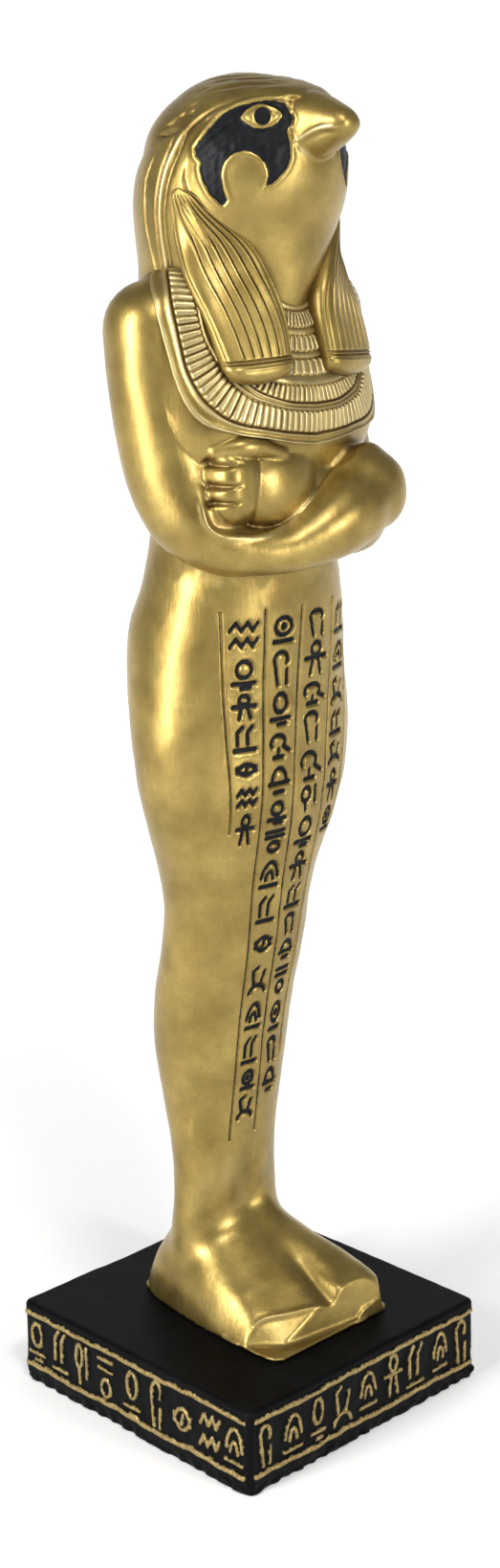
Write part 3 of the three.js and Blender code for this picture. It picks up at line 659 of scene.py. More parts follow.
# Each sign is a few strokes in a cell from -1 to 1; none of them is a letter.
signs = [
    [arc(0, 0.3, 0.5, 0.55, 0, 360), line((-0.75, -0.6), (0.75, -0.6)), line((-0.2, -0.9), (0.45, -0.9))],
    [arc(0, -0.2, 0.65, 0.95, 0, 180), line((-0.85, -0.2), (0.85, -0.2)), line((-0.4, -0.75), (0.4, -0.75))],
    [arc(-0.1, 0.45, 0.5, 0.4, -30, 200), line((-0.55, 0.35), (-0.3, -0.9)), line((0.4, -0.15), (0.4, -0.9))],
    [arc(0, -0.45, 0.85, 0.9, 20, 160), arc(0, 0.5, 0.85, 0.9, 200, 340), line((-0.1, -0.2), (0.1, 0.25))],
    [arc(0, 0.55, 0.36, 0.38, -80, 260), line((-0.8, 0.05), (0.8, 0.05)), line((-0.2, 0.05), (-0.4, -0.9)),
     line((0.2, 0.05), (0.4, -0.9))],
    [line((-0.85, 0.3), (-0.5, 0.75), (-0.15, 0.3), (0.2, 0.75), (0.55, 0.3), (0.85, 0.7)),
     line((-0.85, -0.6), (-0.5, -0.15), (-0.15, -0.6), (0.2, -0.15), (0.55, -0.6), (0.85, -0.2))],
    [arc(0, -0.85, 0.85, 0.5, 10, 170), line((-0.4, -0.4), (-0.65, 0.6), (-0.2, 0.8)),
     line((0.3, -0.4), (0.6, 0.5))],
    [line((-0.8, 0.75), (0.8, 0.75)), line((-0.8, 0.35), (0.8, 0.35)), arc(0, -0.45, 0.5, 0.38, 0, 360)],
    [arc(-0.15, 0.2, 0.6, 0.5, -40, 210), line((0.3, -0.1), (0.85, -0.5)), line((-0.1, -0.3), (-0.15, -0.85)),
     line((-0.5, -0.85), (0.3, -0.85))],
    [arc(-0.25, 0.35, 0.35, 0.55, 0, 360), line((-0.25, -0.2), (-0.2, -0.9)), line((0.5, 0.85), (0.6, -0.5))],
    [arc(0, -0.5, 0.78, 1.25, 15, 165), arc(0, -0.5, 0.36, 0.65, 15, 165), line((-0.8, -0.75), (0.8, -0.75))],
    [line((-0.6, -0.4), (-0.6, 0.45), (-0.2, 0.8)), line((0.15, -0.4), (0.15, 0.45), (0.55, 0.8)),
     line((-0.85, -0.78), (0.75, -0.78))],
    [arc(0, 0.2, 0.62, 0.6, 0, 360), arc(0, 0.2, 0.12, 0.12, 0, 360, 8), line((-0.7, -0.8), (0.7, -0.8))],
]


# Distance from cell points to the nearest stroke of a sign, whose strokes are stretched to the cell first.
def signDistance(u, v, sign, halfWidth, halfHeight):
    here = np.column_stack([u, v])
    return np.minimum.reduce([nearestOnPath(here, stroke * [halfWidth, halfHeight])[0] for stroke in sign])


inscription = {
    "top": 149.8,
    # height and side of each column line, from its foot up
    "lines": [
        [[111.0, -12.8], [130.0, -14.4], [150.0, -14.9]],
        [[49.5, -5.1], [76.0, -5.2], [90.0, -5.7], [109.0, -7.0], [130.0, -7.4], [150.0, -7.7]],
        [[50.0, 0.5], [85.0, 0.9], [108.0, 0.1], [150.0, 0.2]],
        [[64.0, 6.6], [90.0, 7.4], [109.0, 8.2], [130.0, 8.9], [150.0, 9.2]],
        [[103.0, 13.8], [128.0, 15.4], [150.0, 16.4]],
    ],
    "columnEnds": [108.0, 51.0, 54.0, 105.0],
    "cell": [5.0, 7.4],         # least and greatest height of a sign
    "strokeWidth": 0.92,
    "lineWidth": 0.48,
    "depth": 0.42,
}


# Distance in millimetres from the nearest engraved line or stroke, for points on the front of the body. Widths
# across the front are measured round it: the slope of the squared oval gives how much longer that is.
def inkDistance(points):
    distance = np.full(len(points), 9.0)
    at = tableCurve(wrappedBody["sections"])
    front = np.flatnonzero((points[:, 2] > 46) & (points[:, 2] < inscription["top"] + 2)
                           & (-points[:, 1] > at(points[:, 2])[:, 2] + 0.5))
    x, z = points[front, 0], points[front, 2]
    halfWidth, halfDepth, _, n = at(z).T
    share = np.clip(np.abs(x / halfWidth), 1e-3, 0.97)
    slope = halfDepth / halfWidth * share ** (n - 1) * (1 - share**n) ** (1 / n - 1)
    stretch = np.sqrt(1 + slope**2)
    best = np.full(len(front), 9.0)
    lines = [tableCurve(rows) for rows in inscription["lines"]]
    for rows, lineAt in zip(inscription["lines"], lines):
        off = np.abs(x - lineAt(z)[:, 0]) * stretch
        beyond = np.maximum(np.maximum(rows[0][0] - z, z - inscription["top"]), 0)
        best = np.minimum(best, np.hypot(off, beyond) + (inscription["strokeWidth"] - inscription["lineWidth"]) / 2)
    random = np.random.default_rng(5)
    for order, (leftAt, rightAt) in enumerate(zip(lines[:-1], lines[1:])):
        base, pick = inscription["top"] - 0.7, int(random.integers(len(signs)))
        while base - inscription["cell"][0] > inscription["columnEnds"][order]:
            height = random.uniform(*inscription["cell"])
            middle = base - height / 2
            pick = (pick + int(random.integers(1, len(signs)))) % len(signs)
            left, right = float(leftAt(middle)[0]), float(rightAt(middle)[0])
            cx = (left + right) / 2
            lean = float(leftAt(middle + 1)[0] + rightAt(middle + 1)[0]) / 2 - cx
            inCell = np.flatnonzero((np.abs(z - middle) < height / 2 + 0.8) & (np.abs(x - cx) < 4.8))
            cellStretch = float(np.median(stretch[inCell])) if len(inCell) else 1.0
            half = (right - left) / 2 * cellStretch - 1.0
            u = (x[inCell] - cx - lean * (z[inCell] - middle)) * cellStretch
            d = signDistance(u, z[inCell] - middle, signs[pick], half, height / 2 - 0.45)
            best[inCell] = np.minimum(best[inCell], d)
            base -= height
    distance[front] = best
    return distance


# Depth times a bell of the distance to each stroke, whose width and depth change along it.
def strokesRelief(view, strokes):
    relief = np.zeros(len(view))
    size = view.shape[1]
    for stroke in strokes:
        path = evenPath(stroke, 0.6)
        low, high = path[:, :size].min(0) - 4, path[:, :size].max(0) + 4
        near = np.flatnonzero(np.all((view > low) & (view < high), axis=1))
        distance, along = nearestOnPath(view[near], path[:, :size])
        run = runAlong(path[:, :size])
        width, depth = np.interp(along, run, path[:, size]), np.interp(along, run, path[:, size + 1])
        relief[near] -= depth * bell(distance, width)
    return relief


# The strokes on the feet and, in their own view, those on the hands.
def carvedRelief(points):
    side, forward, height = points[:, 0], -points[:, 1], points[:, 2]
    relief = strokesRelief(np.column_stack([side, forward, height]), foot["strokes"])
    lowEnd, highEnd, least = hand["zone"]
    near = np.flatnonzero((height > lowEnd) & (height < highEnd) & (forward > least))
    sideShare, forwardShare = hand["view"]
    oblique = sideShare * side[near] + forwardShare * forward[near]
    relief[near] += strokesRelief(np.column_stack([oblique, height[near]]), hand["strokes"])
    return relief


# The skin is softened where parts of the casting flow into each other, then moved along its normals by the relief:
# signs, strokes and a slow unevenness. Few triangles stay where it is plain.
def makeBody():
    shells = [bodyShell(), feetShell(), flashShell(), mantleShell()]
    shells += [roundTube(arm["rear"]), roundTube(arm["front"], side=-1)]
    shells += [lumpShell(*lump) for lump in hand["lumps"]]
    shells += [roundTube(thumb, around=32) for thumb in hand["thumbs"]]
    points, quads = fused("bodySkin", shells, wrappedBody["voxel"] * coarse)
    print("body skin", len(quads))
    points = relaxed(points, quads, wrappedBody["relaxing"])
    handsAndArms = band(points[:, 2], *wrappedBody["handBand"]) * (points[:, 1] < -2)
    rounds, share = wrappedBody["handRelaxing"]
    points = relaxed(points, quads, rounds, share * handsAndArms)
    for rounds, share, *limits in wrappedBody["softening"]:
        zone = math.prod(band(points[:, axis], *limits[axis]) for axis in range(3))
        points = softened(points, quads, rounds, share * zone)
    normals = normalsOf(points, quads)
    ink = inkDistance(points)
    cut = inscription["strokeWidth"] / 2
    relief = -inscription["depth"] * (1 - smooth(ink, cut - 0.2, cut + 0.15))
    relief += wrappedBody["burr"] * bell(ink - cut - 0.3, 0.22)  # pushed up beside a stroke
    relief += carvedRelief(points)
    relief += wrappedBody["unevenness"] * (unevenness(points, 16.0, 3) + 0.35 * unevenness(points, 5.0, 6))
    carved = points + normals * relief[:, None]
    hands = (np.abs(points[:, 2] - 169) < 11) & (points[:, 1] < -6)
    feet = points[:, 2] < 46
    handDetail, footDetail = wrappedBody["detail"]
    detail = np.maximum.reduce([1 - smooth(ink, 0.5, 1.1), handDetail * hands, footDetail * feet])
    thin = thinned("bodySkin", np.round(carved, 5), quads, 1 - 0.97 * detail, wrappedBody["triangles"])
    piece = finishedPiece("gildedBody", *thin)
    attributeOn(piece, "ink", inkDistance(thin[0]) - cut)
    # The relief of the hand and foot strokes, for the paint: painted highlight where they stand proud, painted shade
    # where they are cut in.
    attributeOn(piece, "carving", np.clip(0.3 * carvedRelief(thin[0]), -0.12, 0.2))
    return piece


# Wig, face and beak become one skin.
head = {
    "voxel": 0.26,
    "triangles": 190000,
    # height, half width, half depth, forward shift of the centre, squareness
    "wig": [
        [187, 15.0, 17.2, -3.4, 2.4], [196, 16.0, 17.0, -3.2, 2.2], [205, 16.8, 16.4, -2.4, 2.1],
        [211, 17.7, 17.2, -2.4, 2.0], [216, 18.0, 17.2, -2.4, 2.0], [221, 17.4, 16.7, -2.1, 2.0],
        [226, 15.5, 15.5, -0.8, 2.0], [230, 13.2, 14.7, 0.2, 2.0], [232.8, 10.8, 13.9, 1.2, 2.0],
        [234.8, 7.9, 10.5, 1.0, 2.0], [236.0, 4.3, 6.0, 0.0, 2.0], [236.5, 1.0, 2.0, -1.2, 2.0],
    ],
    "face": [
        [190, 8.0, 11.6, -3.0, 2.0], [196, 8.2, 12.4, -3.0, 2.0], [199.5, 8.8, 14.0, -2.7, 2.0],
        [202.5, 10.2, 14.6, -2.5, 2.0], [206, 13.0, 14.8, -2.2, 2.0],
        [212, 16.0, 15.0, -1.5, 2.1], [218, 16.8, 16.5, -1.0, 2.1], [223, 16.5, 16.9, -0.9, 2.1],
        [228, 14.6, 15.9, -0.7, 2.1], [232, 11.4, 14.0, 0.6, 2.1], [234.6, 7.5, 10.5, 0.9, 2.1],
    ],
    "wigStations": [[187, 233.8, 118], [234, 236.5, 22]],
    "faceStations": [[190, 234.6, 110]],
    # height, forward distance of the wig's front edge
    "opening": [[187, 8.0], [206, 7.5], [212, 5.4], [217, 2.9], [221, 1.8], [225.6, 3.6], [229.4, 6.6],
                [231.7, 10.8], [232.4, 14.7]],
    # forward distance, top height, bottom height, half width
    "beak": [[9.5, 233.4, 219.8, 7.4], [11.5, 233.7, 220.6, 6.6], [13.5, 233.7, 221.4, 5.6],
             [16.0, 233.3, 222.8, 4.6], [18.5, 232.4, 224.0, 3.9], [20.5, 231.5, 225.2, 3.3],
             [21.8, 230.8, 226.1, 2.8], [22.6, 230.1, 226.8, 2.2], [23.1, 229.4, 227.5, 1.6],
             [23.3, 228.9, 228.0, 0.8]],
    "beakStations": [[9.5, 22.2, 60], [22.3, 23.3, 14]],
    "beakSquareness": 2.1,
    # carved strokes on either side: side, forward, height; half width; depth, below zero where one stands proud
    "strokes": [
        # the groove over the brow band and down round the face, and the raised rim beside it
        [[0.6, 15.3, 234.3, 0.4, 0.3], [4.3, 13.9, 234.1, 0.4, 0.35], [7.7, 11.3, 233.6, 0.4, 0.35],
         [11.2, 7.3, 232.1, 0.45, 0.35], [13.2, 3.5, 230.1, 0.45, 0.35], [14.8, 1.0, 227.2, 0.45, 0.3],
         [16.2, 0.1, 224.0, 0.4, 0.2], [17.2, 0.0, 220.5, 0.4, 0.1]],
        [[4.3, 14.3, 233.4, 0.3, -0.15], [7.9, 11.7, 232.9, 0.3, -0.2], [11.4, 7.5, 231.4, 0.3, -0.2],
         [13.6, 3.9, 229.2, 0.3, -0.15]],
        # folds of the wig behind the face
        [[15.6, -5.5, 224.9, 0.35, 0.1], [16.5, -6.0, 222.3, 0.35, 0.35], [17.0, -6.7, 219.7, 0.35, 0.4],
         [17.4, -6.6, 216.5, 0.35, 0.4], [17.4, -6.5, 212.9, 0.35, 0.4], [17.1, -5.9, 209.6, 0.35, 0.4],
         [16.7, -5.0, 205.5, 0.35, 0.4]],
        [[15.6, -4.9, 224.7, 0.25, -0.05], [17.0, -6.1, 219.7, 0.25, -0.15], [17.4, -5.9, 213.0, 0.25, -0.15],
         [16.7, -4.4, 205.5, 0.25, -0.15]],
        [[15.0, 0.0, 227.4, 0.4, -0.1], [16.3, -1.0, 224.6, 0.45, -0.3], [17.2, -1.6, 221.7, 0.45, -0.35],
         [17.8, -2.2, 218.5, 0.4, -0.35], [18.0, -2.5, 215.2, 0.4, -0.35], [17.7, -2.5, 211.3, 0.4, -0.35],
         [16.8, -2.3, 204.5, 0.4, -0.35]],
        [[15.4, -1.7, 226.0, 0.35, 0.2], [17.1, -2.5, 221.7, 0.35, 0.4], [17.9, -3.3, 215.2, 0.35, 0.4],
         [16.7, -3.1, 204.5, 0.35, 0.4]],
        [[15.4, 0.9, 226.4, 0.35, 0.2], [17.3, -0.5, 221.4, 0.35, 0.35], [18.0, -1.5, 215.0, 0.35, 0.35],
         [16.7, -1.3, 204.5, 0.35, 0.35]],
        # feathers over the crown
        [[2.6, 12.6, 235.0, 0.5, 0.1], [5.6, 9.8, 235.1, 0.6, 0.5], [8.2, 6.0, 234.8, 0.6, 0.55],
         [10.4, 1.6, 233.8, 0.5, 0.1]],
        [[1.5, 9.2, 236.0, 0.5, 0.1], [4.4, 6.6, 235.9, 0.6, 0.5], [6.8, 3.0, 235.8, 0.6, 0.5],
         [8.6, -1.4, 235.2, 0.5, 0.1]],
        [[0.8, 5.6, 236.4, 0.5, 0.1], [3.2, 3.0, 236.3, 0.6, 0.45], [5.2, -0.4, 236.1, 0.6, 0.45],
         [6.8, -5.0, 235.4, 0.5, 0.1]],
        [[11.9, 1.4, 232.6, 0.45, 0.0], [11.0, 3.2, 233.3, 0.45, 0.54], [10.3, 4.6, 233.8, 0.35, 0.1]],
        [[13.0, -2.1, 230.6, 0.45, 0.1], [12.5, -0.5, 231.7, 0.5, 0.68], [12.1, 1.5, 232.2, 0.35, 0.1]],
        [[13.9, -2.6, 229.2, 0.45, 0.1], [13.5, -1.9, 230.1, 0.45, 0.68], [13.1, -0.9, 230.8, 0.35, 0.1]],
        [[14.6, -6.0, 226.4, 0.45, 0.1], [15.0, -3.7, 227.0, 0.5, 0.77], [15.0, -1.0, 227.5, 0.35, 0.1]],
        [[13.9, -0.5, 229.5, 0.4, 0.1], [13.3, 0.1, 230.5, 0.45, 0.59], [12.8, 1.0, 231.3, 0.35, 0.1]],
        [[8.7, -1.0, 235.0, 0.4, 0.05], [7.2, 1.2, 235.7, 0.45, 0.51], [5.5, 3.3, 236.1, 0.35, 0.05]],
        [[9.7, 2.8, 234.4, 0.4, 0.05], [8.0, 5.4, 235.1, 0.45, 0.59], [6.1, 7.6, 235.4, 0.35, 0.05]],
        [[9.6, 7.0, 233.9, 0.4, 0.05], [7.3, 9.3, 234.6, 0.45, 0.59], [4.5, 11.5, 234.9, 0.35, 0.05]],
        [[10.6, -2.5, 233.4, 0.4, 0.05], [10.0, -0.6, 234.2, 0.45, 0.59], [9.5, 0.7, 234.6, 0.35, 0.1]],
        [[5.3, 8.7, 235.4, 0.4, 0.05], [3.3, 10.4, 235.4, 0.45, 0.51], [2.2, 12.1, 235.0, 0.35, 0.05]],
        [[14.3, -5.4, 227.8, 0.4, 0.1], [14.2, -3.5, 228.8, 0.45, 0.59], [14.0, -2.5, 229.4, 0.35, 0.1]],
        [[12.2, -5.4, 231.4, 0.4, 0.1], [11.9, -3.3, 232.3, 0.45, 0.59], [11.5, -1.8, 232.9, 0.35, 0.1]],
        [[9.0, -6.0, 234.4, 0.4, 0.1], [8.4, -3.6, 235.3, 0.45, 0.51], [7.6, -1.8, 235.6, 0.35, 0.1]],
        # beak: the gape ridge with its groove, the cheek line and the root
        [[4.6, 15.0, 225.6, 0.4, -0.15], [4.2, 16.8, 226.7, 0.45, -0.35], [3.7, 19.2, 227.7, 0.45, -0.4],
         [3.0, 21.4, 228.0, 0.4, -0.25], [2.0, 22.8, 228.0, 0.35, 0.0]],
        [[4.6, 15.8, 224.8, 0.4, 0.1], [4.1, 17.8, 225.9, 0.4, 0.25], [3.5, 20.0, 226.8, 0.4, 0.25],
         [2.4, 22.0, 227.1, 0.4, 0.05]],
        [[4.7, 14.8, 225.4, 0.35, -0.2], [3.4, 16.0, 223.8, 0.4, -0.25], [1.2, 16.4, 222.4, 0.4, -0.1]],
        [[4.2, 14.6, 224.8, 0.35, 0.1], [2.8, 15.4, 223.4, 0.35, 0.2], [0.8, 15.6, 222.2, 0.4, 0.1]],
        [[5.2, 13.8, 231.8, 0.5, 0.1], [5.2, 14.4, 229.8, 0.5, 0.2], [5.1, 14.6, 227.6, 0.5, 0.2],
         [4.9, 14.6, 226.0, 0.45, 0.1]],
    ],
    "relaxing": 5,
    "unevenness": 0.05,
}


# Oval rings whose front is cut back to the opening: y is never less than minus its forward distance.
def wigShell():
    heights = stretches(head["wigStations"])
    rings = ovalRings(head["wig"], heights, around=320)
    brow = head["opening"][-1][0]
    reach = np.where(heights < brow, tableCurve(head["opening"])(np.minimum(heights, brow))[:, 0], 60.0)
    rings[..., 1] = np.maximum(rings[..., 1], -reach[:, None])
    return closedTube(rings)


# Plain oval rings.
def faceShell():
    return closedTube(ovalRings(head["face"], stretches(head["faceStations"]), around=260))


# Squared ovals carried forward: x = half width * cos^(2/n), z = middle + half height * sin^(2/n).
def beakShell():
    forward = stretches(head["beakStations"])
    top, bottom, halfWidth = [c[:, None] for c in tableCurve(head["beak"])(forward).T]
    angle = fullTurn(90)
    x = halfWidth * squared(np.cos(angle)[None], head["beakSquareness"])
    z = (top + bottom) / 2 + (top - bottom) / 2 * squared(np.sin(angle)[None], head["beakSquareness"])
    return closedTube(np.stack([x, np.broadcast_to(-forward[:, None], x.shape), z], -1))


# Marks on the face, drawn in the photograph's view of it: a share of forward less a share of side, and height.
faceMarks = {
    "patch": [[6.9, 229.6], [6.3, 230.4], [5.8, 231.5], [4.0, 231.9], [2.0, 231.9], [0.3, 231.6], [-1.4, 231.2],
              [-2.7, 230.7], [-4.1, 229.9], [-5.4, 228.8], [-6.5, 227.6], [-7.5, 226.3], [-8.2, 225.3],
              [-8.7, 224.7], [-8.6, 223.4], [-7.7, 222.4], [-7.9, 221.4], [-7.5, 219.7], [-6.8, 218.4],
              [-6.2, 217.4], [-5.3, 216.6], [-4.6, 215.8], [-4.1, 215.7], [-3.4, 216.5], [-3.7, 217.4],
              [-4.1, 218.4], [-4.5, 220.4], [-4.3, 221.6], [-3.8, 222.7], [-2.7, 223.7], [-1.7, 224.1],
              [-0.7, 224.2], [0.5, 224.0], [1.5, 223.4], [2.4, 222.5], [2.9, 221.4], [3.1, 220.4], [2.7, 219.1],
              [2.2, 218.4], [3.4, 218.9], [4.4, 219.7], [5.4, 220.7], [6.1, 221.7], [6.6, 223.0], [6.6, 224.0],
              [6.5, 225.3], [6.2, 226.3], [6.1, 227.3], [6.6, 228.1], [7.1, 229.1]],
    "eye": [[-1.3, 229.3], [-0.4, 230.4], [0.6, 231.0], [1.7, 231.3], [2.9, 231.1], [4.1, 230.6], [4.9, 230.1],
            [5.2, 229.6], [4.4, 228.6], [3.4, 228.0], [2.1, 227.7], [0.8, 227.8], [-0.4, 228.5]],
    "pupil": [2.1, 229.5, 1.38],   # place and radius
    "view": [0.71, 0.705],         # how much forward adds, and how much side takes off
    "zone": [3.0, 1.0, 212, 233],  # least side and forward, lowest and highest point of the face
    "patchRim": [[-0.4, 0.35, 0.14]],
    "patchDepth": 0.12,
    "mottle": 0.05,
    "eyeRise": 0.30,
    "eyeRim": [[0.0, 0.28, 0.16]],
    "pupilRise": 0.12,
}


# Signed distance to each mark, above zero inside it: to its outline, or the radius less the distance to its middle.
def markDistances(points):
    half = halfView(points)
    leastSide, leastForward, lowEnd, highEnd = faceMarks["zone"]
    zone = np.flatnonzero((half[:, 1] > leastForward) & (half[:, 0] > leastSide)
                          & (half[:, 2] > lowEnd) & (half[:, 2] < highEnd))
    forwardShare, sideShare = faceMarks["view"]
    view = np.column_stack([forwardShare * half[zone, 1] - sideShare * half[zone, 0], half[zone, 2]])
    pupilX, pupilZ, radius = faceMarks["pupil"]
    marks = {name: np.full(len(points), -9.0) for name in ("patch", "eye", "pupil")}
    marks["patch"][zone] = insideOutline(view, faceMarks["patch"])
    marks["eye"][zone] = insideOutline(view, faceMarks["eye"])
    marks["pupil"][zone] = radius - np.hypot(view[:, 0] - pupilX, view[:, 1] - pupilZ)
    return marks


# Strokes, a raised rim and a sunk, mottled field for the dark patch, and a domed eye with its rim and pupil.
def headRelief(points, marks):
    relief = strokesRelief(halfView(points), head["strokes"])
    patch, eye, pupil = marks["patch"], marks["eye"], marks["pupil"]
    relief += ridges(patch, faceMarks["patchRim"]) - faceMarks["patchDepth"] * smooth(patch, -0.1, 0.3)
    field = smooth(patch, 0.2, 1.0) * (1 - smooth(eye, -0.6, -0.1))
    relief += field * faceMarks["mottle"] * unevenness(points, 1.8, 17)
    relief += (faceMarks["eyeRise"] * smooth(eye, -0.1, 0.9) + ridges(eye, faceMarks["eyeRim"])
               + faceMarks["pupilRise"] * smooth(pupil, -0.15, 0.1))
    return relief


# The skin is moved along its normals by the relief and thinned away from the marks.
def makeHead():
    points, quads = fused("headSkin", [wigShell(), faceShell(), beakShell()], head["voxel"] * coarse)
    print("head skin", len(quads))
    points = relaxed(points, quads, head["relaxing"])
    normals = normalsOf(points, quads)
    marks = markDistances(points)
    relief = headRelief(points, marks) + head["unevenness"] * unevenness(points, 12.0, 8)
    points = points + normals * relief[:, None]
    detail = np.maximum(1 - smooth(np.abs(marks["patch"]), 0.4, 1.0), 1 - smooth(np.abs(marks["eye"]), 0.8, 1.6))
    thin = thinned("headSkin", np.round(points, 5), quads, 1 - 0.95 * detail, head["triangles"])
    piece = finishedPiece("falconHead", *thin)
    marks = markDistances(thin[0])
    for name, values in marks.items():
        attributeOn(piece, name, values)
    # The strokes' relief, for the paint: painted shade in the grooves, painted highlight on the raised rims.
    attributeOn(piece, "carving", strokesRelief(halfView(thin[0]), head["strokes"]))
    return piece


lappet = {
    # height, side, forward, half width, half thickness, degrees it faces outwards
    "sections": [
        [187.6, 10.8, 13.0, 6.0, 3.1, 15], [192.0, 11.1, 12.1, 6.5, 2.9, 17], [198.5, 11.4, 9.7, 7.2, 3.0, 22],
        [204.5, 12.3, 7.1, 7.2, 2.8, 35], [210.0, 13.0, 4.7, 6.2, 2.4, 50], [215.0, 15.2, 2.4, 3.6, 2.0, 64],
        [218.4, 16.3, 1.0, 2.2, 1.6, 76],
    ],
    "stations": [[187.6, 190.3, 26], [190.35, 192.4, 40], [192.5, 216.9, 150], [217.0, 218.4, 14]],
    # where the pleats part, as shares of the width from the inner edge
    "pleats": [0.13, 0.25, 0.37, 0.49, 0.61, 0.74],
    "pleat": [[0.0, 0.12, -0.27], [0.27, 0.16, 0.16]],   # cut and ridge: place, width, height
    "edgeCut": 0.22,
    "cuffCut": 0.26,
    "cuffRoll": 0.14,
    "cuffLines": [191.8, 191.25],
    "roundTop": 216.9,           # above it the tip closes, below roundEnd the foot does
    "roundEnd": 190.3,
    "foot": 187.6,
    "endTilt": 1.0,
    "endRound": 1.9,
    "leftWider": 1.2,            # the left one reaches further in over the throat
    "unevenness": 0.06,
    "columns": 210,
}


# Height of a squared arc over its share of the width: (1 - |2 share - 1|^3)^(1/3).
def squaredArc(share):
    return (1 - np.abs(2 * share - 1) ** 3.0) ** (1 / 3.0)


# Across: a squared arc of the half thickness with fine pleat lines. Along: the section table, with a rounded end
# below. side is 1 for the figure's left and -1 for its right.
def makeLappet(side):
    top = lappet["sections"][-1][0]
    z = stretches(lappet["stations"])
    reach, forward, halfWidth, thick, facing = [c[:, None] for c in tableCurve(lappet["sections"])(z).T]
    z = z[:, None]
    if side > 0:
        wider = lappet["leftWider"] * (1 - smooth(z, 202, 211))
        reach, halfWidth = reach - wider, halfWidth + wider
    under = np.clip((lappet["roundEnd"] - z) / (lappet["roundEnd"] - lappet["foot"]), 0, 0.995)
    above = np.clip((z - lappet["roundTop"]) / (top - lappet["roundTop"]), 0, 0.98)
    halfWidth = halfWidth * np.sqrt(1 - above**2) - 0.7 * (1 - np.sqrt(1 - under**2))
    share = (np.arange(lappet["columns"]) + 0.5) / lappet["columns"]
    frontOut = thick * squaredArc(share)[None] * np.sqrt(1 - under**2) + 0.05
    cuff = lappet["cuffLines"]
    fade = smooth(z, cuff[0] + 0.1, cuff[0] + 0.6) * smooth(halfWidth, 2.0, 4.0)
    carving = np.zeros(frontOut.shape)
    for parting in lappet["pleats"]:
        away = (share[None] - parting) * 2 * halfWidth
        carving = carving + fade * ridges(away, lappet["pleat"])
    edges = np.minimum(share, 1 - share)[None] * 2 * halfWidth
    carving = carving - lappet["edgeCut"] * bell(edges - 0.7, 0.16) * smooth(z, 191.5, 192.5)
    for level in cuff:
        carving = carving - lappet["cuffCut"] * bell(z - level, 0.13)
    carving = carving + lappet["cuffRoll"] * bell(z - np.mean(cuff), 0.11)
    carving = carving + 0.1 * bell(z - lappet["roundEnd"] - 0.1, 0.25)
    frontOut = frontOut + carving
    # For the paint: half the relief gives painted highlight on the pleat ridges and painted shade in the cuts, and
    # painted shade is added under the rounded end.
    carving = 0.5 * carving - 0.1 * smooth(under, 0.4, 0.9)
    frontU = halfWidth * (2 * share - 1)[None]
    backShare = np.linspace(0.97, 0.03, 30)
    backU = halfWidth * (2 * backShare - 1)[None]
    backOut = -thick * squaredArc(backShare)[None]
    u = np.concatenate([frontU, backU], axis=1)
    out = np.concatenate([frontOut, backOut], axis=1)
    turn = np.radians(facing)
    x = side * (reach + u * np.cos(turn) + out * np.sin(turn))
    y = -(forward - u * np.sin(turn) + out * np.cos(turn))
    # the end is cut a little askew, lower at the outer edge, and its corners are rounded up
    across = u / np.max(halfWidth)
    askew = -0.5 * lappet["endTilt"] * (1 - smooth(z, 190, 205)) * across
    askew = askew + lappet["endRound"] * across**2 * (1 - smooth(z, lappet["foot"], 191.2))
    rings = np.stack([x, y, z + askew], -1)
    rings[..., 1] -= lappet["unevenness"] * unevenness(rings.reshape(-1, 3), 7.0, 14).reshape(x.shape)
    carving = np.concatenate([carving, np.zeros(backU.shape)], axis=1)
    if side < 0:
        rings, carving = rings[:, ::-1], carving[:, ::-1]
    piece = finishedPiece("lappetLeft" if side > 0 else "lappetRight", *closedTube(rings))
    attributeOn(piece, "carving", np.append(carving.ravel(), [0, 0]))
    return piece


plinth = {
    "side": 60.6,
    "height": 15.8,
    "corner": 1.7,
    "topRound": 0.9,
    "inset": 0.25,
    "upperLine": 13.85,
    "lowerLine": 3.3,
    "lineWidth": 1.05,
    "strokeWidth": 0.8,
    "raise": 0.42,
    "signMiddle": 8.6,
    "signHeight": 9.9,
    "signPitch": 6.6,
    "signsPerSide": 9,
    "field": 0.12,               # how far the field between the lines lies back
    "fieldBand": [3.4, 4.2, 13.0, 13.7],
    "unevenness": [[0.05, 4.0, 41], [0.12, 19.0, 42]],   # height, wavelength, seed
    "ragged": 0.34,              # roughness of the casting's foot
    "lip": 0.7,                  # sliver of flash at the front left corner
    "perSide": 208,              # columns of the grid along a side and round a corner, and rows up a side
    "perCorner": 8,
    "rows": 70,
    "capRows": 8,
}


# Signed distance from a raised gold line or stroke on the plinth's sides, above zero on it.
def giltDistance(along, z):
    side = plinth["side"]
    wander = 0.16 * np.sin(along * 0.31) + 0.09 * np.sin(along * 1.3 + 1)
    best = np.full(along.shape, -9.0)
    local = np.mod(along, side) - side / 2
    ends = np.maximum(np.abs(local) - (side / 2 - 1.5), 0)
    for level in (plinth["upperLine"], plinth["lowerLine"]):
        best = np.maximum(best, plinth["lineWidth"] / 2 - np.hypot(z - level - wander, ends))
    random = np.random.default_rng(23)
    pick = 0
    for quarter in range(4):
        for place in range(plinth["signsPerSide"]):
            shift = random.uniform(-0.5, 0.5)
            centre = side * (quarter + 0.5) + (place - (plinth["signsPerSide"] - 1) / 2) * plinth["signPitch"] + shift
            middle = plinth["signMiddle"] + random.uniform(-0.35, 0.35)
            tall, wide = random.uniform(0.86, 1.0), random.uniform(0.8, 1.0)
            pick = (pick + int(random.integers(1, len(signs)))) % len(signs)
            near = np.flatnonzero(np.abs(along - centre) < plinth["signPitch"] * 0.62)
            d = signDistance(along[near] - centre, z[near] - middle, signs[pick],
                             wide * (plinth["signPitch"] / 2 - 0.45), tall * plinth["signHeight"] / 2)
            best[near] = np.maximum(best[near], plinth["strokeWidth"] / 2 - d)
    return best


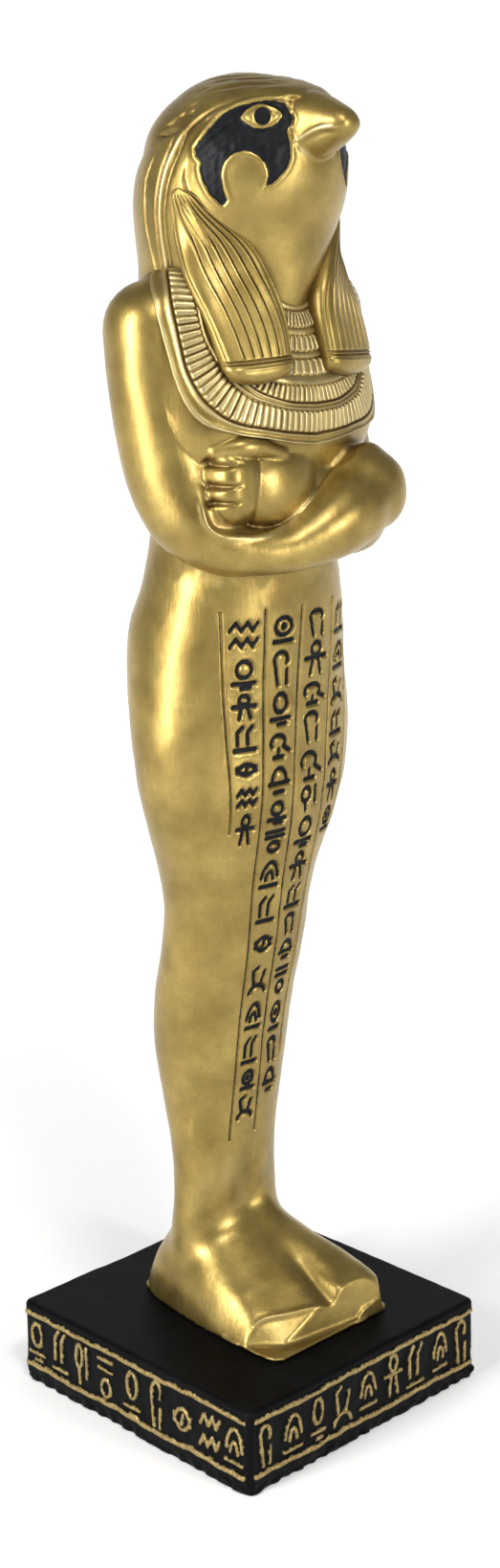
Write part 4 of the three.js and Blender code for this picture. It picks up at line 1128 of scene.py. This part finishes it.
# Points round a square with rounded corners, the way out at each, and the length run along the square.
def squareOutline(half, corner, perSide, perCorner):
    flat = half - corner
    run = np.linspace(-flat, flat, perSide)
    angle = np.linspace(0, np.pi / 2, perCorner + 2)[1:-1]
    x = np.concatenate([run, flat + corner * np.sin(angle)])
    y = np.concatenate([np.full(perSide, -half), -flat - corner * np.cos(angle)])
    outX, outY = np.concatenate([0 * run, np.sin(angle)]), np.concatenate([0 * run - 1, -np.cos(angle)])
    along = np.concatenate([run + half, 2 * half - corner + 2 * corner * angle / np.pi * 2])
    points, ways, length = [], [], []
    for quarter, (c, s) in enumerate([(1, 0), (0, 1), (-1, 0), (0, -1)]):
        points.append(np.column_stack([c * x - s * y, s * x + c * y]))
        ways.append(np.column_stack([c * outX - s * outY, s * outX + c * outY]))
        length.append(np.mod(along + 2 * half * quarter, 8 * half))
    return np.vstack(points), np.vstack(ways), np.concatenate(length)


# The outline swept up the sides, over the rounded top edge, and shrunk towards the middle above and below.
def makePlinth():
    half, rounding, height = plinth["side"] / 2, plinth["topRound"], plinth["height"]
    rows, caps = plinth["rows"], plinth["capRows"]
    outline, out, along = squareOutline(half, plinth["corner"], plinth["perSide"], plinth["perCorner"])
    arcTurn = np.radians(np.linspace(8, 90, 9))
    rise = np.concatenate([np.linspace(0, height - rounding, rows), height - rounding + rounding * np.sin(arcTurn)])
    roundIn = np.concatenate([np.zeros(rows), rounding * (1 - np.cos(arcTurn))])
    shape = (len(rise), len(outline))
    risen = np.broadcast_to(rise[:, None], shape)
    gilt = giltDistance(np.broadcast_to(along, shape).ravel(), risen.ravel()).reshape(shape)
    sides = np.concatenate([np.broadcast_to(outline, (*shape, 2)), risen[..., None]], -1)

    def uneven(wavelength, seed):
        return unevenness(sides.reshape(-1, 3), wavelength, seed).reshape(shape)

    ragged = uneven(2.6, 4)
    cornerAway = np.hypot(outline[:, 0] - half, outline[:, 1] + half)
    offset = plinth["raise"] * smooth(gilt, -0.16, 0.18) - plinth["inset"] - roundIn[:, None]
    offset = offset - plinth["field"] * band(rise, *plinth["fieldBand"])[:, None]
    for amount, wavelength, seed in plinth["unevenness"]:
        offset = offset + amount * uneven(wavelength, seed)
    offset = offset + np.clip(plinth["ragged"] * bell(rise, 1.3)[:, None] * ragged, -0.3, 0.3)
    offset = offset + plinth["lip"] * bell(cornerAway, 3.0)[None] * bell(rise - 1.2, 0.55)[:, None]
    sides[..., :2] += offset[..., None] * out
    shrink = np.linspace(0.985, 0.01, caps)[:, None, None]
    top = np.concatenate([sides[-1:, :, :2] * shrink, np.full((caps, len(outline), 1), height)], -1)
    under = np.concatenate([sides[:1, :, :2] * shrink[::-1], np.zeros((caps, len(outline), 1))], -1)
    rings = np.concatenate([under, sides, top])
    rings[caps, :, 2] += np.maximum(0.0, 0.22 * ragged[0])
    piece = finishedPiece("blackPlinth", *closedTube(rings))
    stored = np.full(rings.shape[:2], -9.0)
    stored[caps:caps + len(rise)] = gilt
    attributeOn(piece, "gilt", np.append(stored.ravel(), [-9.0, -9.0]))
    return piece


# A socket with the arithmetic operators, so that shader maths reads as plain Python.
class Shade:
    def __init__(self, tree, socket):
        self.tree, self.socket = tree, socket

    def maths(self, operation, first, second=None):
        node = self.tree.nodes.new("ShaderNodeMath")
        node.operation = operation
        for slot, value in zip(node.inputs, (first, second)):
            if isinstance(value, Shade):
                self.tree.links.new(value.socket, slot)
            elif value is not None:
                slot.default_value = value
        return Shade(self.tree, node.outputs[0])

    def __add__(self, other): return self.maths("ADD", self, other)
    def __radd__(self, other): return self.maths("ADD", other, self)
    def __sub__(self, other): return self.maths("SUBTRACT", self, other)
    def __rsub__(self, other): return self.maths("SUBTRACT", other, self)
    def __mul__(self, other): return self.maths("MULTIPLY", self, other)
    def __rmul__(self, other): return self.maths("MULTIPLY", other, self)
    def __truediv__(self, other): return self.maths("DIVIDE", self, other)
    def clamped(self): return self.maths("MINIMUM", self.maths("MAXIMUM", self, 0.0), 1.0)


# One material: its nodes are added by kind, settings and sockets.
class Paint:
    def __init__(self, name):
        self.material = bpy.data.materials.new(name)
        self.material.use_nodes = True
        self.tree = self.material.node_tree
        self.tree.nodes.clear()

    # Any node: its settings first, then the values or links of its sockets.
    def node(self, kind, settings=None, values=None, output=0):
        node = self.tree.nodes.new("ShaderNode" + kind)
        for name, value in (settings or {}).items():
            setattr(node, name, value)
        for name, value in (values or {}).items():
            self.feed(node.inputs[name], value)
        return Shade(self.tree, node.outputs[output])

    # A value, a colour or a link into a socket.
    def feed(self, slot, value):
        if isinstance(value, Shade):
            self.tree.links.new(value.socket, slot)
        else:
            slot.default_value = (*value, 1.0) if slot.type == "RGBA" else value

    def place(self):
        return self.node("TexCoord", output="Object")

    # Noise whose blots are about size millimetres across.
    def noise(self, size, detail=3.0, roughness=0.5, where=None):
        return self.node("TexNoise", {}, {"Vector": where or self.place(), "Scale": 1.0 / (size * millimetre),
                                          "Detail": detail, "Roughness": roughness})

    def stretchedPlace(self, scale):
        return self.node("VectorMath", {"operation": "MULTIPLY"}, {0: self.place(), 1: scale})

    def mixed(self, factor, first, second):
        node = self.tree.nodes.new("ShaderNodeMix")
        node.data_type = "RGBA"
        for number, value in ((0, factor), (6, first), (7, second)):  # the sockets for colours
            self.feed(node.inputs[number], value)
        return Shade(self.tree, node.outputs[2])

    # 0 below low, 1 above high, and straight between them.
    def between(self, value, low, high):
        return ((value - low) / (high - low)).clamped()

    # A number that the mesh holds at its points.
    def measured(self, name):
        return self.node("Attribute", {"attribute_name": name}, output="Fac")

    # The shader with its surface, and a bump of height, strength and distance in metres.
    def finished(self, surface, bump=None):
        shader = self.tree.nodes.new("ShaderNodeBsdfPrincipled")
        for name, value in surface.items():
            self.feed(shader.inputs[name], value)
        if bump:
            height, strength, distance = bump
            normal = self.node("Bump", {}, {"Height": height, "Strength": strength, "Distance": distance})
            self.tree.links.new(normal.socket, shader.inputs["Normal"])
        output = self.tree.nodes.new("ShaderNodeOutputMaterial")
        self.tree.links.new(shader.outputs[0], output.inputs[0])
        return self.material


gold = {
    "bright": (0.46, 0.335, 0.100),
    "deep": (0.26, 0.175, 0.045),
    "olive": (0.25, 0.205, 0.062),
    # painted shade for recesses and cut-in relief, then painted highlight for proud relief
    "paintedShade": (0.095, 0.056, 0.017),
    "paintedHighlight": (0.66, 0.55, 0.29),
    "black": (0.0022, 0.0026, 0.0034),
    "shadeReach": 0.0019,         # metres within which a recess counts as closed in
    "roughness": 0.385,
    "metallic": 0.9,
    "coat": 0.22,
    "coatRoughness": 0.25,
    "specular": 0.15,
    "grain": 0.46,
    "grainHeight": 0.00012,
    # sizes in millimetres of the soft tones, the olive patches, the specks and the brush marks
    "toneSize": 9.0,
    "patchSize": 3.2,
    "speckSize": 0.32,
    "brushSize": 0.5,
    "brushStretch": (1.0, 1.0, 0.18),
}


# Gold paint: tone and olive patches by noise, painted shade in brown where little light gets in and where the relief
# is cut in, a painted highlight where the relief stands proud, and black paint by distance.
def goldPaint(name, marks):
    paint = Paint(name)
    tone = paint.noise(gold["toneSize"], 4.0, 0.6)
    patches = paint.noise(gold["patchSize"], 3.0, 0.55)
    speck = paint.noise(gold["speckSize"], 2.0, 0.6)
    colour = paint.mixed(paint.between(tone, 0.3, 0.72), gold["deep"], gold["bright"])
    colour = paint.mixed(paint.between(patches, 0.5, 0.76) * 0.55, colour, gold["olive"])
    colour = paint.mixed(paint.between(speck, 0.48, 0.72) * 0.55, colour, gold["deep"])
    openness = paint.node("AmbientOcclusion", {"samples": 8}, {"Distance": gold["shadeReach"]}, output="AO")
    # Painted shade: the colour turns brown where ambient occlusion finds the surface closed in, and where the carving
    # attribute is below zero.
    recessShade = (1.0 - paint.between(openness, 0.35, 0.92)) * (0.75 + patches * 0.4)
    carving = paint.measured("carving") + (speck - 0.5) * 0.06
    # Painted highlight: a paler gold where the carving attribute stands proud.
    colour = paint.mixed(paint.between(carving, 0.03, 0.24) * 0.6, colour, gold["paintedHighlight"])
    recessShade = (recessShade * 0.75 + paint.between(carving * -1.0, 0.03, 0.3) * 0.9).clamped()
    colour = paint.mixed(recessShade, colour, gold["paintedShade"])
    brushed = paint.noise(gold["brushSize"], 3.0, 0.6, paint.stretchedPlace(gold["brushStretch"]))
    roughness = gold["roughness"] + (speck - 0.5) * 0.2 + (tone - 0.5) * 0.14 + recessShade * 0.15
    height = brushed * 0.5 + paint.noise(2.2, 2.0, 0.5)
    surface = {"Metallic": gold["metallic"], "Coat Weight": gold["coat"], "Coat Roughness": gold["coatRoughness"],
               "Specular IOR Level": gold["specular"]}
    if marks:
        black = marks(paint)
        colour = paint.mixed(black, colour, gold["black"])
        surface["Metallic"] = (1.0 - black) * gold["metallic"]
        surface["Coat Weight"] = (1.0 - black * 0.95) * gold["coat"]
        roughness = roughness + black * 0.1
    return paint.finished({**surface, "Base Color": colour, "Roughness": roughness},
                          (height, gold["grain"], gold["grainHeight"]))


# Black within the engraved strokes, with a slightly ragged edge.
def bodyMarks(paint):
    return 1.0 - paint.between(paint.measured("ink") + (paint.noise(0.5) - 0.5) * 0.2, -0.12, 0.02)


# Black in the patch but not in the eye, in the pupil, and thinly round the eye's rim.
def headMarks(paint):
    ragged = (paint.noise(0.7) - 0.5) * 0.4 + (paint.noise(2.4) - 0.5) * 0.5
    patch = paint.between(paint.measured("patch") + ragged, -0.05, 0.05)
    eye = paint.between(paint.measured("eye") + 0.08, -0.05, 0.05)
    pupil = paint.between(paint.measured("pupil"), -0.05, 0.05)
    fromRim = paint.node("Math", {"operation": "ABSOLUTE"}, {0: paint.measured("eye") - 0.35})
    rim = 1.0 - paint.between(fromRim, 0.05, 0.2)
    return (patch * (1.0 - eye) + pupil * eye + rim * 0.3 * eye).clamped()


blackPaint = {
    "dark": (0.0016, 0.0016, 0.0016),
    "cloudy": (0.0040, 0.0042, 0.0048),
    "leafDull": (0.24, 0.17, 0.06),
    "leafBright": (0.50, 0.38, 0.16),
    "leafMetallic": 0.7,
    "roughness": 0.46,
    "specular": 0.06,
    "grain": 0.35,
    "grainHeight": 0.00016,
}


# Clouded black, with worn gold leaf where the relief stands proud.
def plinthPaint():
    paint = Paint("blackPlinthPaint")
    grain = paint.noise(0.6, 4.0, 0.7)
    cloud = paint.noise(7.0, 4.0, 0.6)
    colour = paint.mixed(paint.between(cloud, 0.35, 0.7), blackPaint["dark"], blackPaint["cloudy"])
    worn = paint.noise(1.2, 3.0, 0.7)
    cover = paint.between(paint.measured("gilt") + (worn - 0.5) * 0.85, -0.02, 0.2)
    dry = paint.noise(0.5, 2.0, 0.6)
    leaf = paint.mixed(paint.between(dry, 0.35, 0.65), blackPaint["leafDull"], blackPaint["leafBright"])
    colour = paint.mixed(cover * 0.9, colour, leaf)
    roughness = blackPaint["roughness"] + (grain - 0.5) * 0.2 + cover * 0.02
    return paint.finished({"Base Color": colour, "Metallic": cover * blackPaint["leafMetallic"],
                           "Roughness": roughness, "Specular IOR Level": blackPaint["specular"]},
                          (grain + cloud * 0.8, blackPaint["grain"], blackPaint["grainHeight"]))


body = makeBody()
falconHead = makeHead()
plainPieces = [makeCollar(), makeLappet(-1), makeLappet(1)]
plinthPiece = makePlinth()

body.data.materials.append(goldPaint("goldBodyPaint", bodyMarks))
falconHead.data.materials.append(goldPaint("goldHeadPaint", headMarks))
plainGold = goldPaint("goldPaint", None)
for piece in plainPieces:
    piece.data.materials.append(plainGold)
plinthPiece.data.materials.append(plinthPaint())

for piece in (body, falconHead, *plainPieces):
    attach(piece, "root")
    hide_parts("figure")
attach(plinthPiece, "root")
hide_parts("plinth")
print("pieces ready")


studio = {
    "floorHalf": 4.0,
    "floorDark": (0.84, 0.84, 0.84),
    "floorPale": (0.87, 0.87, 0.87),
    "floorRoughness": 0.9,
    # the bright side of the world lies behind the figure: how far towards it, and how bright the world is there
    "brightSide": (0.68, 0.67, -1.6),
    "world": [(0.0, 0.19), (0.50, 0.21), (0.72, 0.7), (0.86, 1.0)],
    "worldStrength": 1.04,
    # the floor glows softly behind the figure: which way, from and to how far, how much, and its share in front
    "glowWay": (0.71, 0.70, 0.0),
    "glow": [-0.1, 0.6, 0.9],
    "glowInFront": (0.12, 0.12, 0.12),
    # name, place, aimed at, width, height, power
    "lamps": [
        ["keySoftbox", (-1.0, 0.06, 0.42), (0, 0, 0.13), 0.28, 0.6, 13.0],
        ["fillSoftbox", (0.12, -1.0, 0.30), (0, 0, 0.17), 0.16, 0.34, 5.2],
        ["frontSoftbox", (-0.30, -0.62, 0.95), (0, 0, 0.17), 0.2, 0.2, 4.2],
        ["floorLamp", (0.9, 0.9, 1.1), (1.2, 1.2, 0), 1.2, 1.2, 3.0],
    ],
    "camera": (-0.2883, -0.2861, 0.2262),
    "pitch": 74.81,
    "yaw": -45.24,
    "lens": 54.65,
    "sensor": 36,
    "nearest": 0.01,
}


# A pale floor just under the plinth.
def makeStage():
    half = studio["floorHalf"]
    corners = np.array([[-half, -half, 0], [half, -half, 0], [half, half, 0], [-half, half, 0]], float)
    floor = placed("floor", meshOf("floor", corners, np.array([[0, 1, 2, 3]])))
    floor.location.z = -0.0002
    paint = Paint("paleFloor")
    tone = paint.noise(300.0, 2.0)
    colour = paint.mixed(tone, studio["floorDark"], studio["floorPale"])
    near, far, glow = studio["glow"]
    behind = paint.node("VectorMath", {"operation": "DOT_PRODUCT"}, {0: paint.place(), 1: studio["glowWay"]},
                        output="Value")
    lit = paint.mixed(paint.between(behind, near, far), studio["glowInFront"], (1.0, 1.0, 1.0))
    floor.data.materials.append(paint.finished({"Base Color": colour, "Roughness": studio["floorRoughness"],
                                                "Emission Color": lit, "Emission Strength": glow}))


# A white surround behind the figure that falls off overhead and towards the camera: brightness by the share
# (1 + direction . bright side) / 2 along the ramp.
def makeWorld():
    world = bpy.data.worlds.new("studio")
    world.use_nodes = True
    nodes, links = world.node_tree.nodes, world.node_tree.links
    way = nodes.new("ShaderNodeTexCoord")
    towards = nodes.new("ShaderNodeVectorMath")
    towards.operation = "DOT_PRODUCT"
    towards.inputs[1].default_value = studio["brightSide"]
    half = nodes.new("ShaderNodeMath")
    half.operation = "MULTIPLY_ADD"
    half.inputs[1].default_value = half.inputs[2].default_value = 0.5
    ramp = nodes.new("ShaderNodeValToRGB")
    stops = ramp.color_ramp.elements
    for number, (place, value) in enumerate(studio["world"]):
        stop = stops[number] if number < 2 else stops.new(place)
        stop.position, stop.color = place, (value, value, value, 1)
    links.new(way.outputs["Generated"], towards.inputs[0])
    links.new(towards.outputs["Value"], half.inputs[0])
    links.new(half.outputs[0], ramp.inputs[0])
    background = nodes["Background"]
    links.new(ramp.outputs[0], background.inputs[0])
    background.inputs[1].default_value = studio["worldStrength"]
    bpy.context.scene.world = world


# Soft boxes, each turned so that its face looks at its aim.
def makeLamps():
    for name, place, aim, width, height, power in studio["lamps"]:
        lamp = bpy.data.lights.new(name, "AREA")
        lamp.shape = "RECTANGLE"
        lamp.size, lamp.size_y, lamp.energy = width, height, power
        holder = bpy.data.objects.new(name, lamp)
        bpy.context.scene.collection.objects.link(holder)
        holder.location = place
        direction = np.array(aim, float) - np.array(place, float)
        tilt = math.atan2(math.hypot(direction[0], direction[1]), -direction[2])
        holder.rotation_euler = (tilt, 0, math.atan2(direction[1], direction[0]) - math.pi / 2)


# The camera stands where the plinth's corners in the photograph put it.
def makeCamera():
    lens = bpy.data.cameras.new("camera")
    lens.lens = studio["lens"]
    lens.sensor_width = studio["sensor"]
    lens.clip_start = studio["nearest"]
    holder = bpy.data.objects.new("camera", lens)
    bpy.context.scene.collection.objects.link(holder)
    holder.location = studio["camera"]
    holder.rotation_euler = (math.radians(studio["pitch"]), 0, math.radians(studio["yaw"]))
    bpy.context.scene.camera = holder


makeStage()
makeWorld()
makeLamps()
makeCamera()
bpy.context.scene.view_settings.view_transform = "Standard"
print("stage ready")
